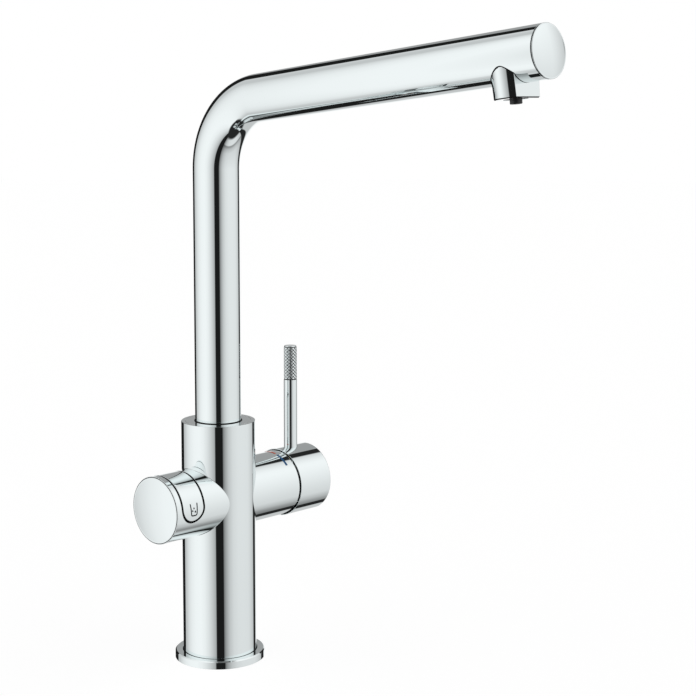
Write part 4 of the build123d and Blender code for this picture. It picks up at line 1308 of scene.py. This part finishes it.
def studio_level(graph, direction):
    """How bright the studio is in a direction from the tap."""
    x, y, z = (graph.node("ShaderNodeSeparateXYZ", {}, {0: direction}, output=i) for i in range(3))
    compass = x.math("ARCTAN2", y * -1.0) / FULL_TURN + 0.5
    angle = compass * 360.0 - 180.0
    cards = graph.node("ShaderNodeValToRGB", {"stops": card_stops()}, {"Fac": compass})

    # The card on the lever's side is darker towards its foot.
    stops = [((rise + 1) / 2, level) for rise, level in RISE]
    rise = graph.node("ShaderNodeValToRGB", {"stops": stops}, {"Fac": z * 0.5 + 0.5})
    right = angle.over(-34.0, -28.0) * (1 - angle.over(88.0, 91.0))
    studio = graph.vector_math("MULTIPLY", cards, graph.blend(right, grey(1.0), rise))

    # The rear card has a dim panel above and a lit floor below.
    rear = angle.over(108.0, 112.0) * (1 - angle.over(*REAR_EDGE))
    studio = graph.blend(rear * z.over(0.05, 0.2), studio, grey(REAR_PANEL))
    studio = graph.blend(rear * (1 - z.over(-0.5, -0.32)), studio, grey(REAR_FLOOR))

    # The gap behind the tap narrows away from the horizon and is a little wider low down.
    around = angle.math("FLOORED_MODULO", 360.0)
    narrowing = 36.0 - (1 - z.over(-0.05, 0.0)) * 10.0
    narrowed = around + (z.math("ABSOLUTE") - 0.26).math("MAXIMUM", 0.0) * narrowing
    widened = around + (1 - z.over(-0.25, -0.12)) * 4.0
    gap = widened.over(*REAR_EDGE) * (1 - narrowed.over(181.5, 184.0))
    studio = graph.blend(gap, studio, grey(REAR_GAP))

    studio = graph.blend(z.over(0.86, 0.93), studio, grey(ZENITH))
    return graph.blend(1 - z.over(-0.93, -0.88), studio, grey(NADIR))


def make_near_card(studio):
    """The long card close to the selector's side with the dark gap at its front, seen only in the chrome."""
    material, graph = new_material("card_cloth")
    place = graph.node("ShaderNodeTexCoord", output=3)
    arm = graph.vector_math("SUBTRACT", place, (0.0, 0.0, studio.card_eye))
    direction = graph.vector_math("NORMALIZE", arm)
    graph.surface(graph.node("ShaderNodeEmission", {}, {"Color": studio_level(graph, direction)}))
    front, back = studio.card_front, studio.card_back
    foot, head = studio.card_foot, studio.card_head
    sides = ((front, foot), (back, foot), (back, head), (front, head))
    rim = [(-studio.card_distance, y, z) for y, z in sides]
    card = stage_sheet("studio_card", rim, material)
    card.visible_camera = card.visible_diffuse = card.visible_shadow = False


def make_light():
    """Soft studio light from the upright cards under a dim ceiling; plain white behind the tap."""
    world = bpy.data.worlds.new("studio_light")
    bpy.context.scene.world = world
    graph = Graph(world)
    studio = studio_level(graph, graph.node("ShaderNodeTexCoord"))
    shown = graph.blend(graph.node("ShaderNodeLightPath"), studio, grey(1.0))
    background = graph.node("ShaderNodeBackground", {}, {"Color": shown, "Strength": 1.0})
    graph.node("ShaderNodeOutputWorld", {}, {"Surface": background})


def make_camera(studio):
    lens = bpy.data.cameras.new("studio_camera")
    lens.sensor_width = 36.0
    lens.lens = studio.camera_lens
    lens.shift_y = studio.camera_shift
    lens.clip_start = 0.05
    yaw, pitch, roll = studio.camera_yaw, studio.camera_pitch, studio.camera_roll
    forward = Vector((cos(pitch) * cos(yaw), cos(pitch) * sin(yaw), sin(pitch)))
    level = forward.cross(Vector((0, 0, 1))).normalized()
    upright = level.cross(forward)
    right = level * cos(roll) + upright * sin(roll)
    above = upright * cos(roll) - level * sin(roll)
    turned = Matrix((right, above, -forward)).transposed().to_4x4()
    camera = add_object("studio_camera", lens)
    camera.matrix_world = Matrix.Translation(Vector(studio.camera_place)) @ turned
    bpy.context.scene.camera = camera


# Add-on


class TAP_PT_panel(bpy.types.Panel):
    """Steps that build the tap round its CAD model"""

    bl_idname = "TAP_PT_panel"
    bl_label = "Kitchen tap"
    bl_space_type = "VIEW_3D"
    bl_region_type = "UI"
    bl_category = "Tap"

    def draw(self, context):
        for step in STEPS:
            self.layout.operator(step.bl_idname)


SIZES = {
    "tap_body": TapBodySizes,
    "tap_selector": TapSelectorSizes,
    "tap_lever": TapLeverSizes,
    "tap_spout": TapSpoutSizes,
    "tap_finishes": TapFinishes,
    "tap_studio": TapStudio,
}
STEPS = (
    TAP_OT_finishes,
    TAP_OT_body,
    TAP_OT_marks,
    TAP_OT_selector,
    TAP_OT_lever,
    TAP_OT_spout,
    TAP_OT_outlet,
    TAP_OT_stage,
)


def register():
    for group in (*SIZES.values(), *STEPS, TAP_PT_panel):
        bpy.utils.register_class(group)
    for name, group in SIZES.items():
        setattr(bpy.types.Scene, name, PointerProperty(type=group))


def unregister():
    for name in SIZES:
        delattr(bpy.types.Scene, name)
    for group in (TAP_PT_panel, *reversed(STEPS), *reversed(SIZES.values())):
        bpy.utils.unregister_class(group)


def main():
    register()
    for step in STEPS:
        operator = step.bl_idname.split(".")[1]
        if getattr(bpy.ops.tap, operator)() != {"FINISHED"}:
            raise RuntimeError(step.bl_label + " was not built")


if __name__ == "__main__":
    main()
